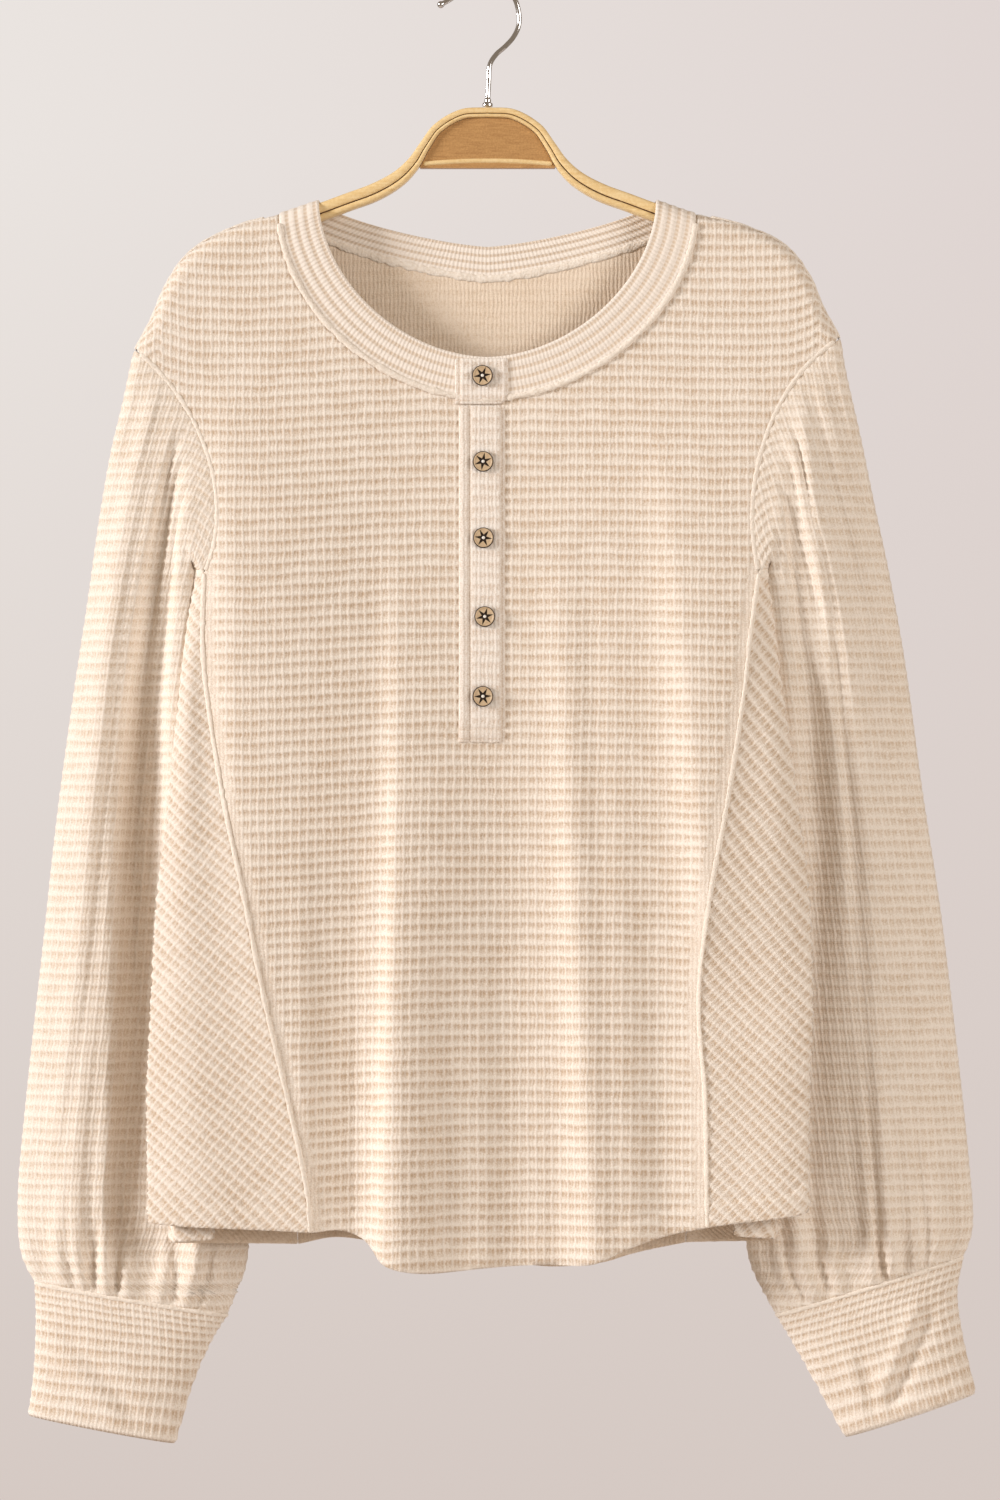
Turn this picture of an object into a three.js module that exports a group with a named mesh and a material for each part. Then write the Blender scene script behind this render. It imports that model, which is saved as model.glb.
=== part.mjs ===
// A long-sleeved henley shirt in waffle knit, hanging on a wooden hanger with a wire hook.
//
// Millimetres. X runs to the viewer's right, Y away from the viewer, Z up.
// The origin is the inner top of the hook's crook, where the hanger hangs, so the shirt lies below it.
//
// The cloth is a set of thin walls. The front and the back are two sheets that meet over the hanger's arms.
// Each side has a flared panel that runs from the front sheet round to the back one and is pleated inwards.
// The sleeves are lofted tubes from the armholes to the cuffs, with their gathers and long folds.

import * as THREE from "three";

const { lerp, clamp, smoothstep } = THREE.MathUtils;

// Driving sizes

const seamGap = 0.3;
const clothThickness = 1.6;
const cuffThickness = 2.0;
const neckbandThickness = 2.4;
const placketThickness = 1.2;
const underarmZ = -372;
const hemZ = -790;

// How many cells each stretch of cloth has

const shoulderCells = 6;
const frontNeckCells = 18;
const backNeckCells = 10;
const neckRows = 6;
const armholeRows = 12;
const sideRows = 14;

// The cloth rolls over the hanger's arm with this radius, along the shoulder's ridge. The right one hangs a
// little higher at its tip than the left one, by the last column.
const rollRadius = 9;
const ridgeRows = [
  { x: 60, z: -121, rightRise: 0 },
  { x: 86, z: -130, rightRise: 0 },
  { x: 106, z: -137, rightRise: 0 },
  { x: 131, z: -145.5, rightRise: 0 },
  { x: 152, z: -151, rightRise: 1 },
  { x: 166, z: -156.5, rightRise: 2 },
  { x: 180, z: -164, rightRise: 3.5 },
  { x: 193, z: -175.5, rightRise: 5 },
  { x: 203.5, z: -192.5, rightRise: 6.5 },
  { x: 211.5, z: -211.5, rightRise: 7 },
  { x: 222, z: -231, rightRise: 7 },
];

// The neckline is four half ovals: the seam and the free edge of the neckband, in front and behind.
const neckline = {
  frontSeam: { halfWidth: 131, top: -145.5, drop: 117, power: 1.85 },
  frontEdge: { halfWidth: 106, top: -137, drop: 99, power: 1.85 },
  backSeam: { halfWidth: 131, top: -145.5, drop: 40, power: 1.35 },
  backEdge: { halfWidth: 106, top: -137, drop: 28, power: 1.35 },
};

// Each armhole is one curve from the shoulder's tip to the underarm.
const armholes = {
  left: [[-222, -231], [-181, -262], [-156, -325], [-177.5, underarmZ]],
  right: [[222, -224], [179, -248], [156, -316], [170, underarmZ]],
};

// The side panels. Each row gives where the panel's parts lie across the shirt at one height:
// its front seam, its front fold, the bottom of the pleat, its back fold and its back seam.
const leftSide = [
  { z: -372, seam: -177.5, fold: -184, pleat: -184, backFold: -184, backSeam: -177.5 },
  { z: -415, seam: -178.5, fold: -189.5, pleat: -187, backFold: -188, backSeam: -178.5 },
  { z: -450, seam: -175.5, fold: -193.5, pleat: -186.5, backFold: -191, backSeam: -175 },
  { z: -514, seam: -165, fold: -199.5, pleat: -187, backFold: -195, backSeam: -164 },
  { z: -577, seam: -151.5, fold: -205.5, pleat: -187, backFold: -199, backSeam: -152 },
  { z: -640, seam: -139, fold: -208, pleat: -186, backFold: -201, backSeam: -141 },
  { z: -700, seam: -125, fold: -209.5, pleat: -181, backFold: -200.5, backSeam: -131 },
  { z: -760, seam: -112.5, fold: -208, pleat: -174, backFold: -198, backSeam: -122 },
  { z: -794, seam: -110.5, fold: -207.5, pleat: -170, backFold: -196, backSeam: -119 },
];
const rightSide = [
  { z: -372, seam: 170, fold: 176.5, pleat: 176.5, backFold: 176.5, backSeam: 170 },
  { z: -415, seam: 164, fold: 181, pleat: 178, backFold: 179.5, backSeam: 168 },
  { z: -450, seam: 160, fold: 185.5, pleat: 177.5, backFold: 183, backSeam: 165 },
  { z: -514, seam: 150, fold: 193.5, pleat: 175, backFold: 188, backSeam: 158 },
  { z: -577, seam: 138.5, fold: 199.5, pleat: 177.5, backFold: 190, backSeam: 148 },
  { z: -640, seam: 132, fold: 201, pleat: 174, backFold: 189, backSeam: 140 },
  { z: -700, seam: 136, fold: 199.5, pleat: 166, backFold: 185, backSeam: 132 },
  { z: -760, seam: 137, fold: 199, pleat: 157, backFold: 181, backSeam: 127 },
  { z: -794, seam: 137.7, fold: 199.5, pleat: 153, backFold: 179, backSeam: 125 },
];
// How far forward the side panels' front and back layers lie, and how deep their pleat is.
const sideDepthRows = [
  { z: -372, front: -14.5, back: 4, pleating: 0 },
  { z: -415, front: -16.5, back: 1, pleating: 0.05 },
  { z: -450, front: -19, back: -1.5, pleating: 0.25 },
  { z: -514, front: -21, back: -3, pleating: 0.7 },
  { z: -577, front: -22, back: -3.5, pleating: 1 },
  { z: -640, front: -23, back: -4, pleating: 1 },
  { z: -794, front: -25, back: -4, pleating: 1 },
];
// Hem heights of the side panels at their front seam, folds, pleat and back seam, by place round the panel.
const leftSideHem = [
  { at: 0, z: -784.5 },
  { at: 2, z: -776 },
  { at: 5, z: -784 },
  { at: 8, z: -790.5 },
  { at: 10, z: -794 },
];
const rightSideHem = [
  { at: 0, z: -781.5 },
  { at: 2, z: -768 },
  { at: 5, z: -783 },
  { at: 8, z: -789 },
  { at: 10, z: -793 },
];

// The hems of the front and back, as heights across the cloth.
const frontHemRows = [
  { x: -110.5, z: -784.5 },
  { x: -92, z: -783.5 },
  { x: -77, z: -789 },
  { x: -64, z: -802 },
  { x: -50, z: -807.5 },
  { x: -30, z: -809 },
  { x: 0, z: -806.5 },
  { x: 30, z: -805 },
  { x: 69, z: -804 },
  { x: 93, z: -793.5 },
  { x: 112, z: -787 },
  { x: 137.7, z: -781.5 },
];
const backHemRows = [
  { x: -119, z: -794 },
  { x: -98, z: -790.5 },
  { x: -78, z: -792 },
  { x: -24, z: -803 },
  { x: 34, z: -809 },
  { x: 68, z: -806.5 },
  { x: 93, z: -801 },
  { x: 125, z: -793 },
];

// How far the two sheets stand off the hanger's plane, beyond the roll, and how the back falls in at its sides.
const depthRows = [
  { z: -140, front: 0, back: 0, backSides: 0 },
  { z: -262, front: 5, back: 1, backSides: 0 },
  { z: -300, front: 6.5, back: 1, backSides: 0.5 },
  { z: -372, front: 8.5, back: 0, backSides: 3 },
  { z: -450, front: 11.5, back: -1, backSides: 10 },
  { z: -514, front: 14, back: -2, backSides: 10.5 },
  { z: -650, front: 18, back: -3, backSides: 10 },
  { z: -800, front: 21, back: -3, backSides: 10 },
];

// Folds that run down the cloth. Each starts at height from, is full at height full, and lies at x "top" where
// it starts and at x "hem" at the hem. A fold stands out by rise, and its crest leans sideways by lean.
const frontFolds = [
  { top: -52, hem: -61, width: 14, rise: 12, lean: 8, from: -470, full: -740 },
  { top: -90, hem: -96, width: 16, rise: -5.5, lean: 0, from: -520, full: -740 },
  { top: 20, hem: 22, width: 30, rise: -5, lean: 0, from: -380, full: -640 },
  { top: 42, hem: 72, width: 24, rise: 8, lean: 4, from: -340, full: -700 },
  { top: 98, hem: 106, width: 15, rise: -5, lean: 0, from: -480, full: -720 },
  { top: 150, hem: 131, width: 15, rise: 7, lean: 0, from: -420, full: -680 },
  { top: -120, hem: -40, width: 38, rise: -3.5, lean: 0, from: -250, full: -520 },
  { top: 120, hem: 150, width: 30, rise: 3.5, lean: 0, from: -230, full: -420 },
];
const backFolds = [
  { top: -70, hem: -84, width: 20, rise: 6, lean: 3, from: -330, full: -700 },
  { top: -28, hem: -34, width: 22, rise: -5, lean: 0, from: -330, full: -700 },
  { top: 14, hem: 18, width: 20, rise: 6, lean: -3, from: -360, full: -720 },
  { top: 56, hem: 66, width: 22, rise: -4, lean: 0, from: -330, full: -700 },
  { top: 92, hem: 100, width: 18, rise: 4, lean: 3, from: -380, full: -700 },
];

// Sleeve sections, from the armhole down. A section runs from its outer to its inner point in the front view.
const leftSleeve = [
  { outerX: -222, outerZ: -231, innerX: -185, innerZ: -369 },
  { outerX: -225, outerZ: -245, innerX: -190, innerZ: -366 },
  { outerX: -229.5, outerZ: -266, innerX: -192.5, innerZ: -380 },
  { outerX: -237, outerZ: -297, innerX: -196.5, innerZ: -408 },
  { outerX: -245, outerZ: -341, innerX: -199.5, innerZ: -442 },
  { outerX: -252, outerZ: -388, innerX: -198, innerZ: -476 },
  { outerX: -262, outerZ: -451, innerX: -189.5, innerZ: -516 },
  { outerX: -272.5, outerZ: -527, innerX: -177, innerZ: -577 },
  { outerX: -281.5, outerZ: -609, innerX: -165, innerZ: -647 },
  { outerX: -291, outerZ: -694, innerX: -156, innerZ: -719 },
  { outerX: -297, outerZ: -760, innerX: -151.5, innerZ: -782 },
  { outerX: -295.5, outerZ: -799, innerX: -154.5, innerZ: -814 },
  { outerX: -286.5, outerZ: -820, innerX: -165, innerZ: -840.5 },
];
const rightSleeve = [
  { outerX: 222, outerZ: -224, innerX: 177, innerZ: -369 },
  { outerX: 224, outerZ: -239, innerX: 181, innerZ: -366 },
  { outerX: 228, outerZ: -258, innerX: 184, innerZ: -380 },
  { outerX: 235, outerZ: -288, innerX: 188, innerZ: -408 },
  { outerX: 244, outerZ: -330, innerX: 191.5, innerZ: -442 },
  { outerX: 253, outerZ: -370, innerX: 191, innerZ: -476 },
  { outerX: 264, outerZ: -429, innerX: 183.5, innerZ: -516 },
  { outerX: 274.5, outerZ: -505, innerX: 174, innerZ: -577 },
  { outerX: 286.5, outerZ: -584, innerX: 166, innerZ: -647 },
  { outerX: 296.5, outerZ: -666, innerX: 162.5, innerZ: -719 },
  { outerX: 304.5, outerZ: -741, innerX: 163, innerZ: -776 },
  { outerX: 307, outerZ: -783, innerX: 167.5, innerZ: -810 },
  { outerX: 301, outerZ: -804, innerX: 183, innerZ: -840.5 },
];
// The same sections in depth, for both sleeves: centre and half are a section's place and half size. bulge and
// dip are how much of the armhole's curve it keeps towards its outer and its inner end, and join is how much of
// the armhole's own depth it keeps.
const sleeveDepths = [
  { centre: -5, half: 11, bulge: 1, dip: 1, join: 1 },
  { centre: -5, half: 12, bulge: 0.93, dip: 0.35, join: 0.85 },
  { centre: -3, half: 13, bulge: 0.8, dip: 0, join: 0.5 },
  { centre: 0, half: 15, bulge: 0.5, dip: 0, join: 0.2 },
  { centre: 5, half: 17, bulge: 0.2, dip: 0, join: 0 },
  { centre: 10, half: 18, bulge: 0, dip: 0, join: 0 },
  { centre: 16, half: 18, bulge: 0, dip: 0, join: 0 },
  { centre: 19, half: 18, bulge: 0, dip: 0, join: 0 },
  { centre: 20, half: 18.5, bulge: 0, dip: 0, join: 0 },
  { centre: 21, half: 19, bulge: 0, dip: 0, join: 0 },
  { centre: 21, half: 19, bulge: 0, dip: 0, join: 0 },
  { centre: 19, half: 16, bulge: 0, dip: 0, join: 0 },
  { centre: 17, half: 11, bulge: 0, dip: 0, join: 0 },
];

// Long folds in the sleeves: place across the sleeve (0 outer edge, 1 inner edge) and height of the fold at the
// cap, at the middle and at the cuff. A height below zero is a groove. Widths are in millimetres.
const leftSleeveFolds = [
  { face: "front", cap: 0.16, middle: 0.3, cuff: 0.22, capRise: 3, middleRise: 4, cuffRise: 3, width: 13 },
  { face: "front", cap: 0.36, middle: 0.56, cuff: 0.34, capRise: -6, middleRise: -9, cuffRise: -4, width: 9 },
  { face: "front", cap: 0.55, middle: 0.78, cuff: 0.48, capRise: 3, middleRise: 3, cuffRise: 2, width: 9 },
  { face: "front", cap: 0.76, middle: 0.9, cuff: 0.72, capRise: -5, middleRise: -4, cuffRise: -3, width: 8 },
  { face: "back", cap: 0.25, middle: 0.3, cuff: 0.3, capRise: -5, middleRise: -6, cuffRise: -4, width: 11 },
  { face: "back", cap: 0.5, middle: 0.55, cuff: 0.6, capRise: 4, middleRise: 4, cuffRise: 3, width: 13 },
];
const rightSleeveFolds = [
  { face: "front", cap: 0.82, middle: 0.82, cuff: 0.8, capRise: 3, middleRise: 4, cuffRise: 2, width: 9 },
  { face: "front", cap: 0.6, middle: 0.66, cuff: 0.66, capRise: -6, middleRise: -7, cuffRise: -4, width: 8 },
  { face: "front", cap: 0.38, middle: 0.36, cuff: 0.4, capRise: 2, middleRise: 2.5, cuffRise: 3, width: 14 },
  { face: "front", cap: 0.2, middle: 0.2, cuff: 0.22, capRise: -4, middleRise: -2, cuffRise: -3, width: 9 },
  { face: "back", cap: 0.25, middle: 0.3, cuff: 0.3, capRise: -5, middleRise: -6, cuffRise: -4, width: 11 },
  { face: "back", cap: 0.5, middle: 0.55, cuff: 0.6, capRise: 4, middleRise: 4, cuffRise: 3, width: 13 },
];
// Small gathers where the sleeve is sewn into the armhole and the cuff: how many on each face, their height,
// and how far from the seam they stand highest, as a share of the sleeve's length.
const capGathers = { front: 7, back: 4, height: 2.2, reach: 0.07 };
const cuffGathers = { front: 8, back: 4, height: 2.6, reach: 0.05 };

// The cuffs, from the sleeve's seam down, in the same columns as the sleeves.
const leftCuff = [
  { outerX: -286.5, outerZ: -820.4, innerX: -165.2, innerZ: -840.9, centre: 17, half: 11 },
  { outerX: -285.5, outerZ: -842, innerX: -175, innerZ: -857, centre: 16, half: 10.5 },
  { outerX: -286.5, outerZ: -873, innerX: -186, innerZ: -882, centre: 15, half: 10 },
  { outerX: -290, outerZ: -904, innerX: -198, innerZ: -921.5, centre: 14, half: 9.5 },
];
const rightCuff = [
  { outerX: 300.9, outerZ: -804.4, innerX: 183.2, innerZ: -840.9, centre: 17, half: 11 },
  { outerX: 297, outerZ: -826, innerX: 193.5, innerZ: -858, centre: 16, half: 11 },
  { outerX: 300, outerZ: -852, innerX: 206.5, innerZ: -881, centre: 15, half: 11 },
  { outerX: 308.5, outerZ: -890, innerX: 226.5, innerZ: -917.5, centre: 14, half: 11 },
];

// The placket and the end of the neckband that laps over it, with the buttons down their middle.
const placket = { left: -18, right: 10.8, top: -266.6, bottom: -478.5 };
const bandEnd = { left: -20.5, right: 13, top: -237, bottom: -266 };
const buttons = [
  { x: -3.1, z: -248 },
  { x: -2.7, z: -302 },
  { x: -2.5, z: -350 },
  { x: -1.8, z: -399.5 },
  { x: -3.1, z: -449.5 },
];
const buttonRadius = 6.5;
const buttonThickness = 2.4;

// The hanger: a bent wooden rail, the half-round panel in its arch, and the wire hook.
const railDepth = 12;
const panelDepth = 8;
const panelBottom = -116.6;
const clothClearance = 1.7;
const railRows = [
  { x: 0, z: -78.3, height: 6.5 },
  { x: 17.5, z: -79.8, height: 6.5 },
  { x: 34, z: -89.5, height: 6.5 },
  { x: 43, z: -101.5, height: 7 },
  { x: 49.5, z: -110.5, height: 8.5 },
  { x: 59, z: -119, height: 10 },
  { x: 73, z: -126.5, height: 11 },
  { x: 90, z: -132.8, height: 11 },
];
const railEnd = 182;
const wireRadius = 1.6;
const collarRadius = 2.7;
const tipRadius = 2.2;
const hookPoints = [
  [0, -78], [0.3, -70], [0.8, -61], [1.4, -51.5], [5.2, -45], [11, -39.8], [16.2, -34], [19.5, -27],
  [19.8, -19], [16.8, -9], [9.6, -1.2], [0, 1.6], [-10, -0.9], [-17.5, -6], [-24.5, -10.6], [-31.5, -14.4],
];

// Materials, in the photographed colours

const cream = new THREE.MeshStandardMaterial({ color: 0xe9d9c2, roughness: 0.95, metalness: 0 });
const carvedShell = new THREE.MeshStandardMaterial({ color: 0x9b8166, roughness: 0.5, metalness: 0.2 });
const paleWood = new THREE.MeshStandardMaterial({ color: 0xe3bf7f, roughness: 0.5, metalness: 0 });
const chrome = new THREE.MeshStandardMaterial({ color: 0xc9c9cb, roughness: 0.15, metalness: 1 });

// A smooth curve through one column of a table, against another column that only rises or only falls.
function column(rows, by, name) {
  const at = rows.map((row) => row[by]);
  const value = rows.map((row) => row[name]);
  const last = at.length - 1;
  const slope = at.map((_, i) => {
    const before = Math.max(i - 1, 0);
    const after = Math.min(i + 1, last);
    return (value[after] - value[before]) / (at[after] - at[before]);
  });
  const direction = Math.sign(at[last] - at[0]);
  return (x) => {
    let i = 0;
    while (i < last - 1 && (x - at[i + 1]) * direction > 0) i++;
    const span = at[i + 1] - at[i];
    const t = clamp((x - at[i]) / span, 0, 1);
    const rise = t * t * (3 - 2 * t);
    return (
      value[i] * (1 - rise) +
      value[i + 1] * rise +
      span * t * (1 - t) * (slope[i] * (1 - t) - slope[i + 1] * t)
    );
  };
}

const ridgeHeight = column(ridgeRows, "x", "z");
const ridgeRise = column(ridgeRows, "x", "rightRise");
const ridge = (x) => ridgeHeight(Math.abs(x)) + (x > 0 ? ridgeRise(x) : 0);
const frontHem = column(frontHemRows, "x", "z");
const backHem = column(backHemRows, "x", "z");
const frontDepth = column(depthRows, "z", "front");
const backDepth = column(depthRows, "z", "back");
const backSideDepth = column(depthRows, "z", "backSides");
const sideFront = column(sideDepthRows, "z", "front");
const sideBack = column(sideDepthRows, "z", "back");
const sidePleating = column(sideDepthRows, "z", "pleating");

// How far the cloth stands off the hanger's plane near the ridge, where it rolls over the arm.
function roll(x, z) {
  const slope = (ridge(x + 1) - ridge(x - 1)) / 2;
  const below = Math.max(ridge(x) - z, 0) / Math.hypot(1, slope);
  return rollRadius * Math.sqrt(1 - (1 - Math.min(below / rollRadius, 1)) ** 2);
}

// What the folds add at one place: how far they stand out and how far they shift the cloth sideways.
function foldsAt(folds, x, z) {
  let out = 0;
  let shift = 0;
  for (const fold of folds) {
    const grown = 1 - smoothstep(z, fold.full, fold.from);
    const at = lerp(fold.top, fold.hem, clamp((z - fold.from) / (hemZ - fold.from), 0, 1));
    const bump = grown * Math.exp(-(((x - at) / fold.width) ** 2));
    out += fold.rise * bump;
    shift += fold.lean * bump;
  }
  return { out, shift };
}

function frontSheet(x, z) {
  const fold = foldsAt(frontFolds, x, z);
  const belly = frontDepth(z) * (1 - 0.25 * (x / 200) ** 2);
  return new THREE.Vector3(x - fold.shift, -(roll(x, z) + belly + fold.out), z);
}

function backSheet(x, z) {
  const fold = foldsAt(backFolds, x, z);
  const fallIn = backSideDepth(z) * Math.min((x / 150) ** 2, 1.4);
  return new THREE.Vector3(x - fold.shift, roll(x, z) + backDepth(z) - fallIn + fold.out, z);
}

// The neckline's ovals. Their sides are sampled down to this angle from the middle, and their bottom across it.
const neckCorner = THREE.MathUtils.degToRad(55);
function neckSide(oval, side, share) {
  const drop = Math.cos(neckCorner) ** (2 / oval.power) * share;
  const across = (1 - drop ** oval.power) ** (1 / oval.power);
  return { x: side * oval.halfWidth * across, z: oval.top - oval.drop * drop };
}
function neckBottom(oval, share) {
  const angle = lerp(-neckCorner, neckCorner, share);
  const power = 2 / oval.power;
  const across = Math.sign(angle) * Math.abs(Math.sin(angle)) ** power;
  return { x: oval.halfWidth * across, z: oval.top - oval.drop * Math.cos(angle) ** power };
}

// The shoulder's ridge from tip to neck. A power above 1 keeps its steps even along the steep tip.
const ridgeTip = ridgeRows.at(-1).x;
function ridgePoint(side, t) {
  const across = ridgeTip - (ridgeTip - neckline.frontSeam.halfWidth) * t ** 1.3;
  return { x: side * across, z: ridge(side * across) };
}

function curve2(points) {
  const curve = new THREE.CubicBezierCurve(...points.map((p) => new THREE.Vector2(...p)));
  return (t) => {
    const p = curve.getPoint(t);
    return { x: p.x, z: p.y };
  };
}
const armholeCurves = { left: curve2(armholes.left), right: curve2(armholes.right) };

// Fills the space between four edge curves in the front view.
function patch(top, bottom, left, right) {
  const corners = [top(0), top(1), bottom(0), bottom(1)];
  const blend = (u, v, name) =>
    (1 - v) * top(u)[name] + v * bottom(u)[name] + (1 - u) * left(v)[name] + u * right(v)[name] -
    (1 - u) * (1 - v) * corners[0][name] - u * (1 - v) * corners[1][name] -
    (1 - u) * v * corners[2][name] - u * v * corners[3][name];
  return (u, v) => ({ x: blend(u, v, "x"), z: blend(u, v, "z") });
}

// Places between two x values that are evenly spaced along a sheet's folded hem.
function evenAlong(sheet, hem, from, to) {
  const steps = 400;
  const length = [0];
  let before = sheet(from, hem(from));
  for (let i = 1; i <= steps; i++) {
    const x = lerp(from, to, i / steps);
    const here = sheet(x, hem(x));
    length.push(length[i - 1] + here.distanceTo(before));
    before = here;
  }
  return (share) => {
    const wanted = share * length[steps];
    let i = 0;
    while (i < steps - 1 && length[i + 1] < wanted) i++;
    const part = (wanted - length[i]) / (length[i + 1] - length[i]);
    return lerp(from, to, (i + clamp(part, 0, 1)) / steps);
  };
}

// A side's table as functions of height.
function sideCurves(rows, hemRows) {
  const names = ["seam", "fold", "pleat", "backFold", "backSeam"];
  const curves = Object.fromEntries(names.map((name) => [name, column(rows, "z", name)]));
  return { ...curves, hem: column(hemRows, "at", "z"), inward: -Math.sign(rows[0].seam) };
}
const sides = {
  left: sideCurves(leftSide, leftSideHem),
  right: sideCurves(rightSide, rightSideHem),
};

// Rows down the front and back: two close ones round the shoulder's roll, the armhole's, then the side seam's.
const rowSteps = [0, 0.15, 0.5];
for (let i = 1; i <= armholeRows + sideRows; i++) rowSteps.push(i);
const neckCornerRow = rowSteps.indexOf(neckRows);
const underarmRow = rowSteps.indexOf(armholeRows);

// The front or back panel as a grid of points. Rows above the neckline's corners have no points in the middle.
function panelGrid(sheet, oval, neckCells, seamName, hem, hemAt) {
  const columns = 2 * shoulderCells + neckCells;
  const corner = shoulderCells / columns;
  const edge = (name) => (step) => {
    if (step <= armholeRows) return armholeCurves[name](step / armholeRows);
    const z = lerp(underarmZ, sides[name].hem(hemAt), (step - armholeRows) / sideRows);
    return { x: sides[name][seamName](z), z };
  };
  const yoke = (name, side) => (t) => {
    const from = edge(name)(neckRows);
    const to = neckSide(oval, side, 1);
    return { x: lerp(from.x, to.x, t), z: lerp(from.z, to.z, t) };
  };
  const shoulder = (name, side) =>
    patch(
      (t) => ridgePoint(side, t),
      yoke(name, side),
      (v) => edge(name)(v * neckRows),
      (v) => neckSide(oval, side, v),
    );
  const leftShoulder = shoulder("left", -1);
  const rightShoulder = shoulder("right", 1);
  const top = (u) => {
    if (u < corner) return yoke("left", -1)(u / corner);
    if (u > 1 - corner) return yoke("right", 1)((1 - u) / corner);
    return neckBottom(oval, (u - corner) / (1 - 2 * corner));
  };
  const lowest = armholeRows + sideRows;
  const [hemLeft, hemRight] = [edge("left")(lowest), edge("right")(lowest)];
  const place = evenAlong(sheet, hem, hemLeft.x, hemRight.x);
  const bottom = (u) => {
    if (u === 0) return hemLeft;
    if (u === 1) return hemRight;
    return { x: place(u), z: hem(place(u)) };
  };
  const down = (name) => (v) => edge(name)(lerp(neckRows, lowest, v));
  const body = patch(top, bottom, down("left"), down("right"));
  return rowSteps.map((step) =>
    Array.from({ length: columns + 1 }, (_, j) => {
      let p;
      if (step >= neckRows) p = body(j / columns, (step - neckRows) / (lowest - neckRows));
      else if (j <= shoulderCells) p = leftShoulder(j / shoulderCells, step / neckRows);
      else if (j >= columns - shoulderCells) p = rightShoulder((columns - j) / shoulderCells, step / neckRows);
      return p ? sheet(p.x, p.z) : null;
    }),
  );
}

// The path round a side panel at one height: the front layer, a fold, a pleat inwards, a fold, the back layer.
// The pleat opens out to a plain side wall towards the underarm. Depths are in sixths of the panel's own.
const pleatedDepth = [0, 1, 2, 2, 3, 4, 4, 5, 6];
const plainDepth = [0, 1, 1.8, 2.4, 3, 3.6, 4.2, 5, 6];
function sidePath(side, z) {
  const from = frontSheet(side.seam(z), z);
  const to = backSheet(side.backSeam(z), z);
  const depth = sideBack(z) - sideFront(z);
  const turn = (side.inward * depth) / 6;
  const [fold, pleat, backFold] = [side.fold(z), side.pleat(z), side.backFold(z)];
  const outwards = (x) => [x + turn, x, x + turn];
  const inwards = (x) => [x - turn, x, x - turn];
  const pleated = [...outwards(fold), ...inwards(pleat), ...outwards(backFold)];
  const share = sidePleating(z);
  const path = pleated.map((x, i) => {
    const plain = lerp(fold, backFold, i / 8) + (i === 0 || i === 8 ? turn : 0);
    const y = sideFront(z) + (depth / 6) * lerp(plainDepth[i], pleatedDepth[i], share);
    return new THREE.Vector3(lerp(plain, x, share), y, z);
  });
  return [from, ...path, to];
}

// A point of a smooth curve through the points of a list, at 0 for the first, 1 for the next and so on.
function along(points, at) {
  const i = Math.min(Math.floor(at), points.length - 2);
  const t = at - i;
  const [a, b, c, d] = [i - 1, i, i + 1, i + 2].map((k) => points[clamp(k, 0, points.length - 1)]);
  const mix = (p, q, r, s) =>
    0.5 * (2 * q + (r - p) * t + (2 * p - 5 * q + 4 * r - s) * t * t + (3 * q - p - 3 * r + s) * t ** 3);
  return new THREE.Vector3(mix(a.x, b.x, c.x, d.x), mix(a.y, b.y, c.y, d.y), mix(a.z, b.z, c.z, d.z));
}

const sideStops = [0, 0.35, 0.7, 1, 2, 3, 4, 5, 6, 7, 8, 9, 9.5, 10];
function sideGrid(side) {
  const grid = [];
  for (let i = 0; i <= sideRows; i++) {
    grid.push(
      sideStops.map((stop) => {
        const z = lerp(underarmZ, side.hem(stop), i / sideRows);
        const path = sidePath(side, z);
        return stop === 0 ? path[0] : stop === 10 ? path[10] : along(path, stop);
      }),
    );
  }
  return grid;
}

// The neighbours of a grid's points. A closed grid joins its last column to its first.
function neighbours(grid, closed = false) {
  const columns = grid[0].length;
  const at = (i, j) => grid[i]?.[closed ? (j + columns) % columns : j];
  return (i, j) => ({ left: at(i, j - 1), right: at(i, j + 1), top: at(i - 1, j), bottom: at(i + 1, j) });
}

// Normals of a grid of points. They are turned to face the given way at one place of the grid.
function normalsOf(grid, facing, at, closed = false) {
  const near = neighbours(grid, closed);
  const normals = grid.map((row, i) =>
    row.map((p, j) => {
      if (!p) return null;
      const { left = p, right = p, top = p, bottom = p } = near(i, j);
      const across = (right ?? p).clone().sub(left ?? p);
      const down = (bottom ?? p).clone().sub(top ?? p);
      return across.cross(down).normalize();
    }),
  );
  if (normals[at[0]][at[1]].dot(facing) < 0) normals.flat().forEach((n) => n?.negate());
  return normals;
}

// Gives two normals that meet at a seam their shared direction, so the two walls meet in a mitre.
function mitre(a, b) {
  a.add(b).normalize();
  b.copy(a);
}

// Draws a grid's sewn edges back by half the seam's gap, along the cloth.
const opposite = { left: "right", right: "left", top: "bottom", bottom: "top" };
function trim(grid, sewn, closed = false) {
  const near = neighbours(grid, closed);
  return grid.map((row, i) =>
    row.map((p, j) => {
      if (!p) return null;
      const q = p.clone();
      const around = near(i, j);
      for (const edge of sewn)
        if (!around[edge]) q.add(around[opposite[edge]].clone().sub(p).setLength(seamGap / 2));
      return q;
    }),
  );
}

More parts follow.
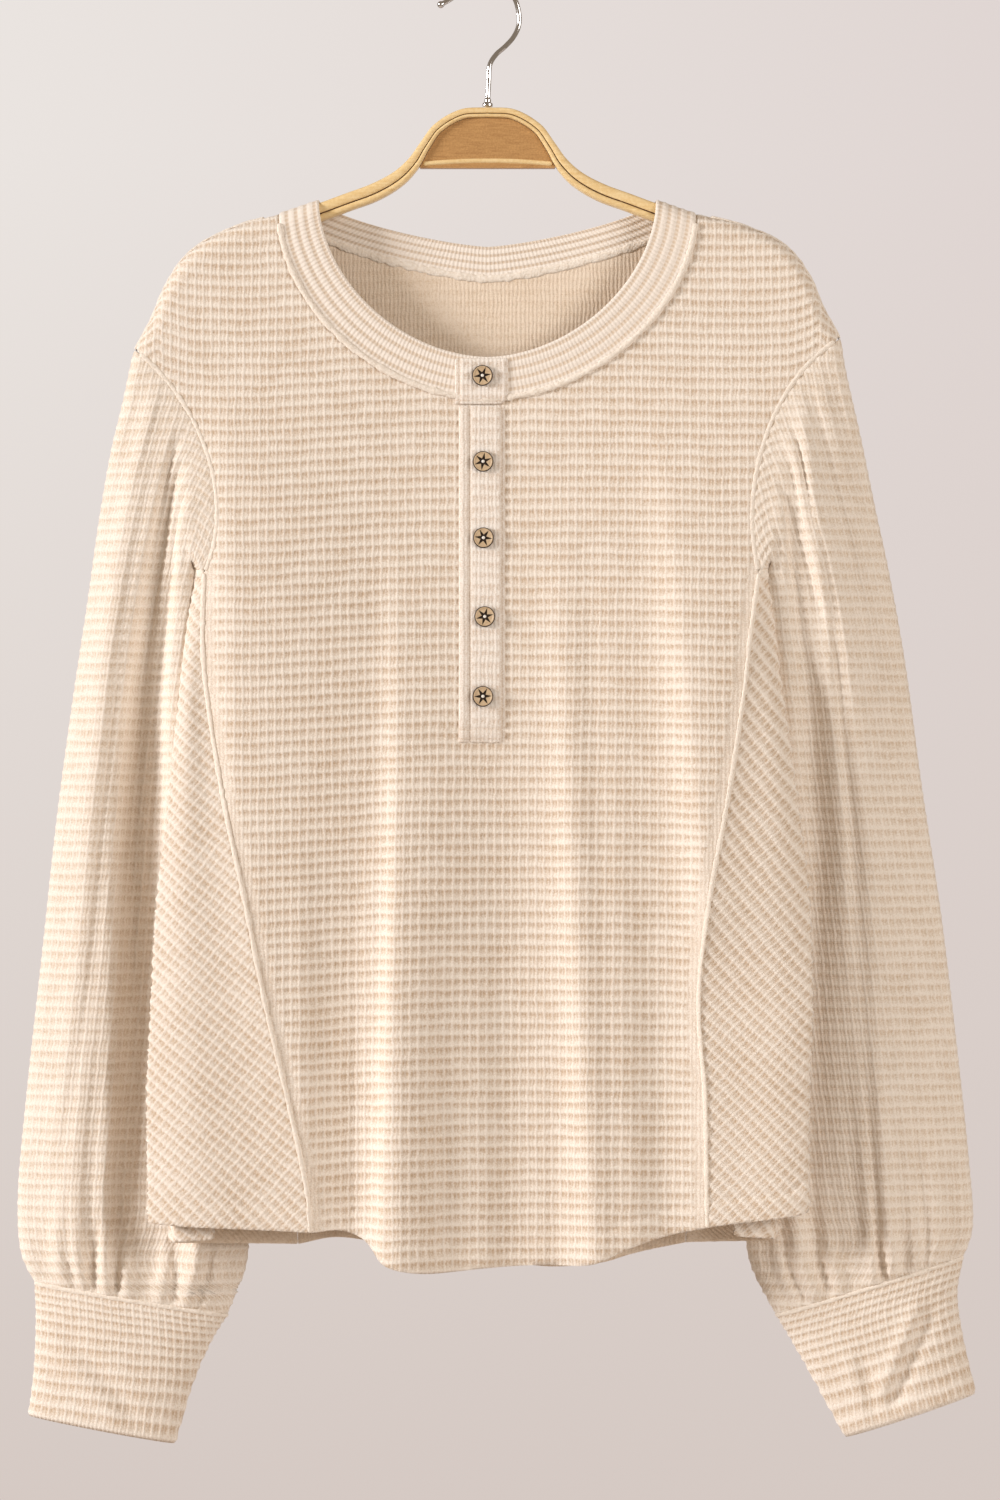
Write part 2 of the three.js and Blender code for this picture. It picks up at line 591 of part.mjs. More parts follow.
// Turns a grid of points and normals into a closed wall of one thickness.
function wall(grid, normals, thickness, closed = false) {
  const columns = grid[0].length;
  const positions = [];
  const corners = grid.map((row, i) =>
    row.map((p, j) => {
      if (!p) return null;
      for (const side of [0.5, -0.5]) {
        const q = p.clone().addScaledVector(normals[i][j], side * thickness);
        positions.push(q.x, q.y, q.z);
      }
      return positions.length / 3 - 2;
    }),
  );
  const index = [];
  const quad = (a, b, c, d) => index.push(a, b, c, a, c, d);
  const edges = new Map();
  for (let i = 0; i < grid.length - 1; i++)
    for (let j = 0; j < (closed ? columns : columns - 1); j++) {
      const next = (j + 1) % columns;
      const cell = [corners[i][j], corners[i + 1][j], corners[i + 1][next], corners[i][next]];
      if (cell.includes(null)) continue;
      const [a, b, c, d] = cell;
      quad(a, b, c, d);
      quad(a + 1, d + 1, c + 1, b + 1);
      cell.forEach((from, k) => edges.set(from + ":" + cell[(k + 1) % 4], [from, cell[(k + 1) % 4]]));
    }
  for (const [from, to] of edges.values())
    if (!edges.has(to + ":" + from)) quad(to, from, from + 1, to + 1);
  const geometry = new THREE.BufferGeometry();
  geometry.setAttribute("position", new THREE.Float32BufferAttribute(positions, 3));
  geometry.setIndex(volume(positions, index) < 0 ? index.reverse() : index);
  geometry.computeVertexNormals();
  return geometry;
}

// Six times the volume inside a mesh. It is negative where the faces point inwards.
function volume(positions, index) {
  const corner = (i) => new THREE.Vector3().fromArray(positions, 3 * index[i]);
  let total = 0;
  for (let i = 0; i < index.length; i += 3) total += corner(i).dot(corner(i + 1).cross(corner(i + 2)));
  return total;
}

const shirt = new THREE.Group();
function add(name, geometry, material) {
  const mesh = new THREE.Mesh(geometry, material);
  mesh.name = name;
  shirt.add(mesh);
  return mesh;
}

const forward = new THREE.Vector3(0, -1, 0);
const backward = new THREE.Vector3(0, 1, 0);

// Front, back and side panels

const frontGrid = panelGrid(frontSheet, neckline.frontSeam, frontNeckCells, "seam", frontHem, 0);
const backGrid = panelGrid(backSheet, neckline.backSeam, backNeckCells, "backSeam", backHem, 10);
const frontNormals = normalsOf(frontGrid, forward, [underarmRow, 3]);
const backNormals = normalsOf(backGrid, backward, [underarmRow, 3]);
const sideGrids = { left: sideGrid(sides.left), right: sideGrid(sides.right) };
const sideNormals = {
  left: normalsOf(sideGrids.left, forward, [sideRows, 1]),
  right: normalsOf(sideGrids.right, forward, [sideRows, 1]),
};

// The shoulder seams and the side seams are mitred.
const edgeColumn = (row, name, inwards = 0) => row[name === "left" ? inwards : row.length - 1 - inwards];
for (const name of ["left", "right"]) {
  for (let k = 0; k <= shoulderCells; k++)
    mitre(edgeColumn(frontNormals[0], name, k), edgeColumn(backNormals[0], name, k));
  sideNormals[name].forEach((row, i) => {
    mitre(edgeColumn(frontNormals[underarmRow + i], name), row[0]);
    mitre(edgeColumn(backNormals[underarmRow + i], name), row.at(-1));
  });
}

const sewnEdges = ["left", "right", "top"];
add("front_panel", wall(trim(frontGrid, sewnEdges), frontNormals, clothThickness), cream);
add("back_panel", wall(trim(backGrid, sewnEdges), backNormals, clothThickness), cream);
for (const name of ["left", "right"])
  add("side_panel_" + name, wall(trim(sideGrids[name], sewnEdges), sideNormals[name], clothThickness), cream);

// The armhole as one ring of points, normals and directions away from the body: down the front, round the top
// of the side panel and up the back. The front's part has a point between each two rows, for the gathers.
function armholeRing(name) {
  const spotAt = (grid, normals, i, face) => {
    const point = edgeColumn(grid[i], name);
    const away = point.clone().sub(edgeColumn(grid[i], name, 1)).normalize();
    return { point, away, normal: edgeColumn(normals[i], name), share: rowSteps[i] / armholeRows, face };
  };
  const between = (a, b) => ({
    point: a.point.clone().lerp(b.point, 0.5),
    away: a.away.clone().add(b.away).normalize(),
    normal: a.normal.clone().add(b.normal).normalize(),
    share: (a.share + b.share) / 2,
    face: a.face,
  });
  const front = [];
  for (let i = 0; i <= underarmRow; i++) {
    const spot = spotAt(frontGrid, frontNormals, i, "front");
    if (rowSteps[i] > 1) front.push(between(front.at(-1), spot));
    front.push(spot);
  }
  const under = [];
  const top = sideGrids[name][0];
  for (let j = 4; j < top.length - 2; j += 3)
    under.push({
      point: top[j],
      away: new THREE.Vector3(0, 0, 1),
      normal: sideNormals[name][0][j],
      share: j / (top.length - 1),
      face: "under",
    });
  const back = [];
  for (let i = underarmRow; i > 0; i--) back.push(spotAt(backGrid, backNormals, i, "back"));
  return [...front, ...under, ...back];
}

// Where each point of a ring lies round a flattened sleeve, as an angle: 0 at the outer edge, pi at the inner.
const underAngle = 0.3;
function ringAngle(spot) {
  if (spot.face === "under") return Math.PI + lerp(-underAngle, underAngle, spot.share);
  const widest = (1 + Math.cos(underAngle)) / 2;
  const angle = Math.acos(1 - 2 * widest * spot.share);
  return spot.face === "front" ? angle : 2 * Math.PI - angle;
}

function sectionCurves(rows) {
  const numbered = rows.map((row, i) => ({ ...row, share: i / (rows.length - 1) }));
  const names = Object.keys(rows[0]);
  return Object.fromEntries(names.map((name) => [name, column(numbered, "share", name)]));
}

// A value that runs smoothly from the cap's to the middle's to the cuff's down a sleeve.
const threeWay = (share, cap, middle, cuff) =>
  share < 0.5
    ? lerp(cap, middle, smoothstep(share, 0, 0.5))
    : lerp(middle, cuff, smoothstep(share, 0.5, 1));

function gatherHeight(gathers, share) {
  const from = share / gathers.reach;
  return gathers.height * from * Math.exp(1 - from);
}

// A sleeve: rings from the armhole to the cuff. Its last ring lies smooth, as it is sewn into the cuff.
const sleeveRings = 13;
function sleeveGrid(name, rows, folds) {
  const ring = armholeRing(name);
  const section = sectionCurves(rows.map((row, i) => ({ ...row, ...sleeveDepths[i] })));
  const armhole = armholes[name].map(([x, z]) => new THREE.Vector2(x, z));
  const chord = (t) => armhole[0].clone().lerp(armhole[3], t);
  const bulges = [armhole[1].clone().sub(chord(1 / 3)), armhole[2].clone().sub(chord(2 / 3))];
  const grid = [ring.map((spot) => spot.point.clone().addScaledVector(spot.away, seamGap / 2))];
  for (let i = 1; i <= sleeveRings; i++) {
    const share = (i / sleeveRings) ** 1.15;
    const outer = new THREE.Vector2(section.outerX(share), section.outerZ(share));
    const inner = new THREE.Vector2(section.innerX(share), section.innerZ(share));
    const across = new THREE.CubicBezierCurve(
      outer,
      outer.clone().lerp(inner, 1 / 3).addScaledVector(bulges[0], section.bulge(share)),
      outer.clone().lerp(inner, 2 / 3).addScaledVector(bulges[1], section.dip(share)),
      inner,
    );
    const width = outer.distanceTo(inner);
    grid.push(
      ring.map((spot) => {
        const angle = ringAngle(spot);
        const place = (1 - Math.cos(angle)) / 2;
        const p = across.getPoint(place);
        const face = angle < Math.PI ? "front" : "back";
        const fade = Math.sqrt(Math.abs(Math.sin(angle)));
        let rise = 0;
        for (const fold of folds.filter((f) => f.face === face)) {
          const at = threeWay(share, fold.cap, fold.middle, fold.cuff);
          const height = threeWay(share, fold.capRise, fold.middleRise, fold.cuffRise);
          const ends = smoothstep(share, 0, 0.1) * (1 - smoothstep(share, 0.88, 1));
          rise += height * ends * Math.exp(-((((place - at) * width) / fold.width) ** 2));
        }
        rise += gatherHeight(capGathers, share) * Math.sin(2 * Math.PI * capGathers[face] * place);
        rise += gatherHeight(cuffGathers, 1 - share) * Math.sin(2 * Math.PI * cuffGathers[face] * place + 1);
        const free = section.centre(share) - Math.sin(angle) * (section.half(share) + rise * fade);
        const back = lerp(free, spot.point.y, clamp(section.join(share), 0, 1));
        return new THREE.Vector3(p.x, back, p.y);
      }),
    );
  }
  return { grid, ring };
}

// A cuff: a short flattened tube from the sleeve's last ring.
const cuffRings = 2;
function cuffGrid(rows, ring) {
  const section = sectionCurves(rows);
  const grid = [];
  for (let i = 0; i <= cuffRings; i++) {
    const share = i / cuffRings;
    grid.push(
      ring.map((spot) => {
        const angle = ringAngle(spot);
        const place = (1 - Math.cos(angle)) / 2;
        return new THREE.Vector3(
          lerp(section.outerX(share), section.innerX(share), place),
          section.centre(share) - Math.sin(angle) * section.half(share),
          lerp(section.outerZ(share), section.innerZ(share), place),
        );
      }),
    );
  }
  return grid;
}

// Sleeves and cuffs

const sleeveTables = {
  left: { rows: leftSleeve, folds: leftSleeveFolds, cuff: leftCuff },
  right: { rows: rightSleeve, folds: rightSleeveFolds, cuff: rightCuff },
};
for (const [name, table] of Object.entries(sleeveTables)) {
  const { grid, ring } = sleeveGrid(name, table.rows, table.folds);
  const normals = normalsOf(grid, forward, [6, 8], true);
  const cuff = cuffGrid(table.cuff, ring);
  const cuffNormals = normalsOf(cuff, forward, [1, 8], true);
  normals[0] = ring.map((spot) => spot.normal);
  normals[sleeveRings] = cuffNormals[0];
  add("sleeve_" + name, wall(grid, normals, clothThickness, true), cream);
  add("cuff_" + name, wall(cuff, cuffNormals, cuffThickness, true), cream);
}

// The neckband: a ring of cloth between its free edge and its seam, round the front and then the back.
const bandRows = 3;
function neckbandGrid() {
  const halves = { front: [frontSheet, frontNeckCells], back: [backSheet, backNeckCells] };
  const spots = (face, edge) => {
    const oval = neckline[face + edge];
    const shares = rowSteps.slice(0, neckCornerRow).map((step) => step / neckRows);
    const cells = halves[face][1];
    return [
      ...shares.map((share) => neckSide(oval, -1, share)),
      ...Array.from({ length: cells + 1 }, (_, i) => neckBottom(oval, i / cells)),
      ...shares.toReversed().map((share) => neckSide(oval, 1, share)),
    ];
  };
  return Array.from({ length: bandRows + 1 }, (_, i) => {
    const row = (face) => {
      const seam = spots(face, "Seam");
      return spots(face, "Edge").map((edge, j) => {
        const x = lerp(edge.x, seam[j].x, i / bandRows);
        const z = lerp(edge.z, seam[j].z, i / bandRows);
        const onRidge = j === 0 || j === seam.length - 1;
        return onRidge ? new THREE.Vector3(x, 0, ridge(x)) : halves[face][0](x, z);
      });
    };
    return [...row("front"), ...row("back").toReversed().slice(1, -1)];
  });
}
const bandGrid = neckbandGrid();
const bandNormals = normalsOf(bandGrid, forward, [1, neckCornerRow + frontNeckCells / 2], true);
add("neckband", wall(trim(bandGrid, ["bottom"], true), bandNormals, neckbandThickness, true), cream);

// A strip that lies on the front, made from the front's own points moved out.
function frontNormal(x, z) {
  const across = frontSheet(x + 1, z).sub(frontSheet(x - 1, z));
  const down = frontSheet(x, z - 1).sub(frontSheet(x, z + 1));
  const normal = across.cross(down).normalize();
  return normal.dot(forward) < 0 ? normal.negate() : normal;
}
function stripGrid(box, out, columns, rows) {
  return Array.from({ length: rows + 1 }, (_, i) =>
    Array.from({ length: columns + 1 }, (_, j) => {
      const x = lerp(box.left, box.right, j / columns);
      const z = lerp(box.top, box.bottom, i / rows);
      return frontSheet(x, z).addScaledVector(frontNormal(x, z), out);
    }),
  );
}
const onPanel = clothThickness / 2 + seamGap;
const onBand = neckbandThickness / 2 + seamGap;
const placketGrid = stripGrid(placket, onPanel + placketThickness / 2, 2, 12);
add("placket", wall(placketGrid, normalsOf(placketGrid, forward, [1, 1]), placketThickness), cream);
const bandEndGrid = stripGrid(bandEnd, onBand + placketThickness / 2, 3, 3);
add("neckband_end", wall(bandEndGrid, normalsOf(bandEndGrid, forward, [1, 1]), placketThickness), cream);

// Buttons: round discs with a soft rim and a slightly dished face, turned about their own axis.
function buttonGeometry() {
  const half = buttonThickness / 2;
  const rim = [[buttonRadius - 0.8, -half], [buttonRadius, 0], [buttonRadius - 0.9, half]];
  const profile = [[0, -half], ...rim, [0, half - 0.3]];
  return new THREE.LatheGeometry(profile.map((p) => new THREE.Vector2(...p)), 16);
}
buttons.forEach((button, i) => {
  const mesh = add("button_" + (i + 1), buttonGeometry(), carvedShell);
  const normal = frontNormal(button.x, button.z);
  const carrier = i === 0 ? onBand : onPanel;
  const out = carrier + placketThickness + seamGap + 0.15 + buttonThickness / 2;
  mesh.position.copy(frontSheet(button.x, button.z).addScaledVector(normal, out));
  mesh.quaternion.setFromUnitVectors(new THREE.Vector3(0, 1, 0), normal);
});

// A solid bar along a path in the hanger's plane. Each stop gives a middle, the half height across the path and
// the half depth, and the section is an oval of the given power.
function bar(stops, sides, power) {
  const positions = [];
  stops.forEach(({ x, z, halfHeight, halfDepth }, i) => {
    const [before, after] = [stops[Math.max(i - 1, 0)], stops[Math.min(i + 1, stops.length - 1)]];
    const across = new THREE.Vector2(before.z - after.z, after.x - before.x).normalize();
    for (let k = 0; k < sides; k++) {
      const angle = (2 * Math.PI * k) / sides;
      const round = (value) => Math.sign(value) * Math.abs(value) ** (2 / power);
      const up = halfHeight * round(Math.cos(angle));
      positions.push(x + across.x * up, halfDepth * round(Math.sin(angle)), z + across.y * up);
    }
  });
  const index = [];
  for (let i = 0; i < stops.length - 1; i++)
    for (let k = 0; k < sides; k++) {
      const [a, b] = [i * sides + k, i * sides + ((k + 1) % sides)];
      index.push(a, b, b + sides, a, b + sides, a + sides);
    }
  const end = (stops.length - 1) * sides;
  for (let k = 1; k < sides - 1; k++) index.push(0, k + 1, k, end, end + k, end + k + 1);
  const geometry = new THREE.BufferGeometry();
  geometry.setAttribute("position", new THREE.Float32BufferAttribute(positions, 3));
  geometry.setIndex(volume(positions, index) < 0 ? index.reverse() : index);
  geometry.computeVertexNormals();
  return geometry;
}

// The rail. Its top edge is the arch, then the shoulder's ridge less the room for the cloth.
const ridgeUnder = ridgeRows
  .filter((row) => row.x > 100)
  .map(({ x, z }) => ({ x, z: z - clothClearance, height: railRows.at(-1).height }));
const railTop = column([...railRows, ...ridgeUnder], "x", "z");
const railHeight = column([...railRows, ...ridgeUnder], "x", "height");
const railSteps = 20;
const railStops = [];
const underside = [];
for (let i = -railSteps; i <= railSteps; i++) {
  const across = railEnd * Math.abs(i / railSteps) ** 1.3;
  const side = Math.sign(i);
  const slope = side * (railTop(across + 0.5) - railTop(Math.max(across - 0.5, 0)));
  const down = new THREE.Vector2(slope, -1).normalize();
  const top = new THREE.Vector2(side * across, railTop(across));
  const height = railHeight(across);
  const middle = top.clone().addScaledVector(down, height / 2);
  const taper = 1 - 0.3 * smoothstep(across, 150, railEnd);
  railStops.push({
    x: middle.x,
    z: middle.y,
    halfHeight: (height / 2) * taper,
    halfDepth: (railDepth / 2) * taper,
  });
  const under = top.clone().addScaledVector(down, height + seamGap);
  if (under.y > panelBottom) underside.push(under);
}
add("hanger_rail", bar(railStops, 10, 2.3), paleWood);

// The half-round panel that fills the rail's arch.
const panelEnds = [underside.at(-1), underside[0]].map((p) => new THREE.Vector2(p.x, panelBottom));
const panelShape = new THREE.Shape([...underside, ...panelEnds]);
const panelSlab = new THREE.ExtrudeGeometry(panelShape, { depth: panelDepth, bevelEnabled: false });
add("hanger_panel", panelSlab.translate(0, 0, -panelDepth / 2).rotateX(Math.PI / 2), paleWood);

// The hook: bent wire that swells to a ball at its tip.
const wire = new THREE.CatmullRomCurve3(hookPoints.map(([x, z]) => new THREE.Vector3(x, 0, z)));
const hookSteps = 34;
const hookStops = Array.from({ length: hookSteps + 1 }, (_, i) => {
  const p = wire.getPointAt(i / hookSteps);
  return { x: p.x, z: p.z, halfHeight: wireRadius, halfDepth: wireRadius };
});
for (const stop of hookStops.slice(0, 2)) stop.halfHeight = stop.halfDepth = collarRadius;
const tip = hookStops.at(-1);
const towards = new THREE.Vector2(tip.x - hookStops.at(-2).x, tip.z - hookStops.at(-2).z).normalize();
for (const angle of [-0.9, -0.3, 0.3, 0.9, 1.4]) {
  const ahead = tipRadius * (Math.sin(angle) + 1);
  const half = tipRadius * Math.cos(angle);
  const [x, z] = [tip.x + towards.x * ahead, tip.z + towards.y * ahead];
  hookStops.push({ x, z, halfHeight: half, halfDepth: half });
}
add("hanger_hook", bar(hookStops, 8, 2), chrome);

export default shirt;
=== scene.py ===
# %% [markdown]
# # A waffle-knit henley on its hanger
# This lesson sews a shirt in Blender the way a workroom does. Each piece of cloth starts as a flat grid, is
# cut along its outline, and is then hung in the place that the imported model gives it. All sizes are in
# millimetres until a mesh is made, because a maker thinks in them.

# %% Load the frame
import math
from functools import partial
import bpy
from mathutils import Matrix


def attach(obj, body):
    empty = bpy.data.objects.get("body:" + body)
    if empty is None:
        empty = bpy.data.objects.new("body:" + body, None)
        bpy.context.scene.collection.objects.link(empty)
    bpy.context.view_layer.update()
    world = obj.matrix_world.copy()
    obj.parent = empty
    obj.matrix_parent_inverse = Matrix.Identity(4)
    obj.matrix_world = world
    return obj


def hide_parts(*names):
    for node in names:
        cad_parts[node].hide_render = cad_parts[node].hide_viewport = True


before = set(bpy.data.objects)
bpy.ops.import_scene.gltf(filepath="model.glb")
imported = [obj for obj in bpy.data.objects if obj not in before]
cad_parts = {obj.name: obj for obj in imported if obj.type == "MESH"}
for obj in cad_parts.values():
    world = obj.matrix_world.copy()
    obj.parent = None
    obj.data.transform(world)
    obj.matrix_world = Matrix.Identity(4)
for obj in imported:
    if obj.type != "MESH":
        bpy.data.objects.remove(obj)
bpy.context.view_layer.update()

from types import SimpleNamespace
import bmesh
import bpy
import numpy as np
from mathutils import Matrix, Vector
from mathutils.kdtree import KDTree

# %% [markdown]
# ## Camera
# The shirt was photographed straight from the front, from well back, with soft light from the upper left.
# The camera comes first, because it decides which details are worth making. One pixel of a 1000 by 1500
# picture is 0.63 mm on the shirt.

# %% Camera
mm_per_pixel = 0.63
picture_width, picture_height = 1000, 1500
hook_pixel = (487.5, -16.5)
camera_distance = 3200
middle_x = (picture_width / 2 - hook_pixel[0]) * mm_per_pixel
middle_z = -(picture_height / 2 - hook_pixel[1]) * mm_per_pixel

lens_data = bpy.data.cameras.new("camera")
camera = bpy.data.objects.new("camera", lens_data)
bpy.context.scene.collection.objects.link(camera)
bpy.context.scene.camera = camera
camera.location = (middle_x / 1000, -camera_distance / 1000, middle_z / 1000)
camera.rotation_euler = (math.pi / 2, 0, 0)
lens_data.lens = lens_data.sensor_width * camera_distance / (picture_height * mm_per_pixel)
print("lens", round(lens_data.lens, 1), "mm")


# %% [markdown]
# ## Materials
# A material here is a chain of nodes. One function adds a node with its settings and its links. Colours are
# written as the hex values that a paint chart gives, and one function turns them into linear light.

# %% Colour and node helpers
def linear(hex_colour):
    parts = [int(hex_colour[i:i + 2], 16) / 255 for i in (1, 3, 5)]
    return [p / 12.92 if p <= 0.04045 else ((p + 0.055) / 1.055) ** 2.4 for p in parts] + [1]


def add(material, kind, settings=(), **inputs):
    tree = material.node_tree
    made = tree.nodes.new("ShaderNode" + kind)
    for name, value in dict(settings).items():
        setattr(made, name, value)
    for name, value in inputs.items():
        label = name.replace("_", " ")
        socket = made.inputs[int(name[1:])] if name[1:].isdigit() else made.inputs[label]
        if isinstance(value, bpy.types.NodeSocket):
            tree.links.new(value, socket)
        else:
            socket.default_value = value
    return made


def new_material(name):
    material = bpy.data.materials.new(name)
    material.use_nodes = True
    material.node_tree.nodes.clear()
    return material


def finish_material(material, **inputs):
    shader = add(material, "BsdfPrincipled", **inputs)
    output = material.node_tree.nodes.new("ShaderNodeOutputMaterial")
    material.node_tree.links.new(shader.outputs[0], output.inputs["Surface"])
    return material


def maths(material, operation, first, second=0.0, third=0.0):
    return add(material, "Math", {"operation": operation}, _0=first, _1=second, _2=third).outputs[0]


def object_place(material):
    return add(material, "TexCoord").outputs["Object"]


def noise(material, place, scale, detail, **more):
    return add(material, "TexNoise", Vector=place, Scale=scale, Detail=detail, **more).outputs[0]


def blend(material, factor, first, second):
    first, second = [linear(c) if isinstance(c, str) else c for c in (first, second)]
    return add(material, "Mix", {"data_type": "RGBA"}, Factor=factor, _6=first, _7=second).outputs[2]


def bump(material, strength, distance, height):
    return add(material, "Bump", Strength=strength, Distance=distance, Height=height).outputs[0]


def cloudy_material(name, light, dark, scale, strength, distance, **finish):
    m = new_material(name)
    cloud = noise(m, object_place(m), scale, 4.0)
    return finish_material(m, Base_Color=blend(m, cloud, light, dark),
                           Normal=bump(m, strength, distance, cloud), **finish)


# %% [markdown]
# ## The waffle knit
# Waffle knit is a cotton jersey whose raised ribs cross raised rows and leave square pits. A cell here is
# 5.1 mm wide and 7 mm high. The ribs and rows are real relief in the mesh, mostly three steps to a cell,
# and the material adds what is finer: the stitches, painted shade at the bottom of each pit, a painted
# shadow just below each row, and the fluff. It reads the piece's own UV map, which holds the flat cloth in
# metres, so the pattern follows every fold.

# %% Cloth sizes
cell_width = 5.1
cell_height = 7.0
cell_steps = (3, 3)
waffle_depth = 0.88
cloth_wall = 1.0
hem_depth = 15.0
stitch_width = cell_width / 2
# Where the painted shading starts in a cell, in cells across and along, and how far below a row its painted
# shadow lies
cell_shift = (-0.25, -0.2)
row_shadow_shift = 0.26
cotton = {"Roughness": 0.92, "Sheen_Weight": 0.25, "Sheen_Roughness": 0.5, "Specular_IOR_Level": 0.15}


# %% Waffle knit material
def knit_material(name, ridge_colour, painted_shade_and_tone_colour, pit_shade_strength=1.0, row_strength=1.0):
    m = new_material(name)
    do = partial(maths, m)
    flat = add(m, "SeparateXYZ", Vector=add(m, "UVMap").outputs[0])
    place = object_place(m)
    patches, drift = noise(m, place, 60.0, 3.0), noise(m, place, 85.0, 2.0)
    across = do("MULTIPLY_ADD", flat.outputs[0], 1000 / cell_width, do("MULTIPLY", drift, 0.5))
    along = do("MULTIPLY_ADD", flat.outputs[1], 1000 / cell_height, do("MULTIPLY", patches, 0.4))
    across, along = do("ADD", across, cell_shift[0]), do("ADD", along, cell_shift[1])
    plain = add(m, "Attribute", {"attribute_name": "plain"}).outputs["Fac"]

    def wave(turns):
        return do("MULTIPLY_ADD", do("COSINE", do("MULTIPLY", turns, 2 * math.pi)), 0.5, 0.5)

    fluff = noise(m, place, 1100.0, 3.0)
    rib, row = wave(across), do("POWER", wave(along), 2.4)
    under = wave(do("ADD", along, row_shadow_shift))
    stitch = wave(do("MULTIPLY", across, cell_width / stitch_width))
    loop = wave(do("MULTIPLY", along, 6))
    # Painted shade: the pits between the ribs are darkened, most just below each row, as if shaded by the row
    # above, and the rows are left light. The fine stitch columns stripe that painted shade.
    between = do("MULTIPLY_ADD", rib, -0.33, 0.55)
    between = do("MULTIPLY", between, do("MULTIPLY_ADD", under, 0.9, 0.7))
    painted_pit_shade = do("MULTIPLY", do("ADD", between, 0.12), do("SUBTRACT", 1, row))
    painted_pit_shade = do("MULTIPLY", painted_pit_shade, do("MAXIMUM", do("MULTIPLY_ADD", plain, -0.85, 1.0), 0))
    shade = do("MULTIPLY", painted_pit_shade, do("MULTIPLY_ADD", stitch, -0.7, 1.35))
    # Flat cloth without cells gets an even tone of its own. A stitched groove, where plain is above 1, gets
    # painted shade. The patches and the fluff are random tone.
    shade = do("MULTIPLY_ADD", plain, 0.22, do("MULTIPLY", shade, pit_shade_strength))
    shade = do("MULTIPLY_ADD", do("SUBTRACT", patches, 0.5), 0.5, shade)
    shade = do("MULTIPLY_ADD", do("SUBTRACT", 0.5, fluff), 1.5, shade)
    height = do("MULTIPLY_ADD", stitch, 0.5, do("MULTIPLY", loop, 0.15))
    height = do("MULTIPLY_ADD", fluff, 0.9, height)
    height = do("MULTIPLY_ADD", row, 0.3 * row_strength, height)
    return finish_material(m, Base_Color=blend(m, shade, ridge_colour, painted_shade_and_tone_colour),
                           Normal=bump(m, 0.6, 0.0006, height), **cotton)


# The second colour is the painted shade of the pits and below the rows, and the random tone also uses it
waffle_face = knit_material("cotton_waffle_knit_face", "#F6EDE3", "#CAB196", 0.85)
sleeve_knit = knit_material("cotton_waffle_knit_sleeve", "#F6EDE3", "#CDB599", 0.62)
waffle_back = knit_material("cotton_waffle_knit_back", "#F0E0CE", "#CBB08F", 0.3, 0.0)
print("materials", [m.name for m in (waffle_face, sleeve_knit, waffle_back)])


# %% [markdown]
# ## Curves from short tables
# A shirt's shape is written as tables that a cutter could read: one row for each height or section, and a
# smooth curve through each column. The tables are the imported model's own, so that the cloth lies on its
# solids.

# %% Smooth curves
def smooth_curve(at, value):
    if at[0] > at[-1]:
        at, value = at[::-1], value[::-1]
    ends = np.arange(len(at))
    before, after = np.maximum(ends - 1, 0), np.minimum(ends + 1, len(at) - 1)
    slope = (value[after] - value[before]) / (at[after] - at[before])

    def curve(x):
        x = np.clip(x, at[0], at[-1])
        i = np.clip(np.searchsorted(at, x, side="right") - 1, 0, len(at) - 2)
        span = at[i + 1] - at[i]
        t = (x - at[i]) / span
        rise = t * t * (3 - 2 * t)
        bend = span * t * (1 - t) * (slope[i] * (1 - t) - slope[i + 1] * t)
        return value[i] * (1 - rise) + value[i + 1] * rise + bend

    return curve


def curves(names, rows):
    table = np.array(rows, float)
    columns = names.split()
    return SimpleNamespace(**{name: smooth_curve(table[:, 0], table[:, i]) for i, name in enumerate(columns)})


def smoothstep(x, low, high):
    t = np.clip((x - low) / (high - low), 0, 1)
    return t * t * (3 - 2 * t)


def bell(x):
    return np.exp(-(x ** 2))


def unit(vectors):
    return vectors / np.linalg.norm(vectors, axis=-1)[..., None]


def length_along(line):
    return np.concatenate([[0], np.cumsum(np.linalg.norm(np.diff(line, axis=0), axis=1))])


def closed(outline):
    return np.vstack([outline, outline[:1]])


# %% [markdown]
# ## The front and back sheets
# Both sheets roll over the hanger's arms along the shoulder's ridge and hang from there. The folds are soft
# bumps that grow on the way down. The small ones at the end of each table are creases too fine for the
# solids.

# %% Shoulder ridge, depths and folds
underarm_z = -372
hem_z = -790
roll_radius = 9
shoulder = curves("x z right_rise", [
    (60, -121, 0), (86, -130, 0), (106, -137, 0), (131, -145.5, 0), (152, -151, 1), (166, -156.5, 2),
    (180, -164, 3.5), (193, -175.5, 5), (203.5, -192.5, 6.5), (211.5, -211.5, 7), (222, -231, 7)])
depths = curves("z front back back_sides", [
    (-140, 0, 0, 0), (-262, 5, 1, 0), (-300, 6.5, 1, 0.5), (-372, 8.5, 0, 3), (-450, 11.5, -1, 10),
    (-514, 14, -2, 10.5), (-650, 18, -3, 10), (-800, 21, -3, 10)])
# place at the top and the hem, width to the left and to the right, rise, lean, height where it starts and
# is full
front_folds = [
    (-52, -60, 9, 46, 12, 3, -400, -740), (-56, -52, 9, 44, 4, 0, -320, -480),
    (-84, -86, 40, 13, -8, 0, -480, -720), (20, 22, 30, 30, -3, 0, -380, -640),
    (44, 72, 13, 32, 7, 4, -290, -600), (98, 112, 15, 18, -3.5, 0, -480, -720),
    (110, 158, 13, 60, 10, 0, -250, -480), (-160, -150, 20, 85, 9, 0, -220, -400),
    (-20, -20, 110, 110, -5, 0, -150, -320), (-28, -22, 9, 9, -2.2, 0, -560, -760),
    (-6, 0, 8, 8, 1.6, 0, -520, -780), (44, 44, 8, 8, -1.8, 0, -600, -770),
    (-118, -112, 8, 8, 1.8, 0, -500, -700), (60, 84, 9, 9, -1.6, 0, -300, -480)]
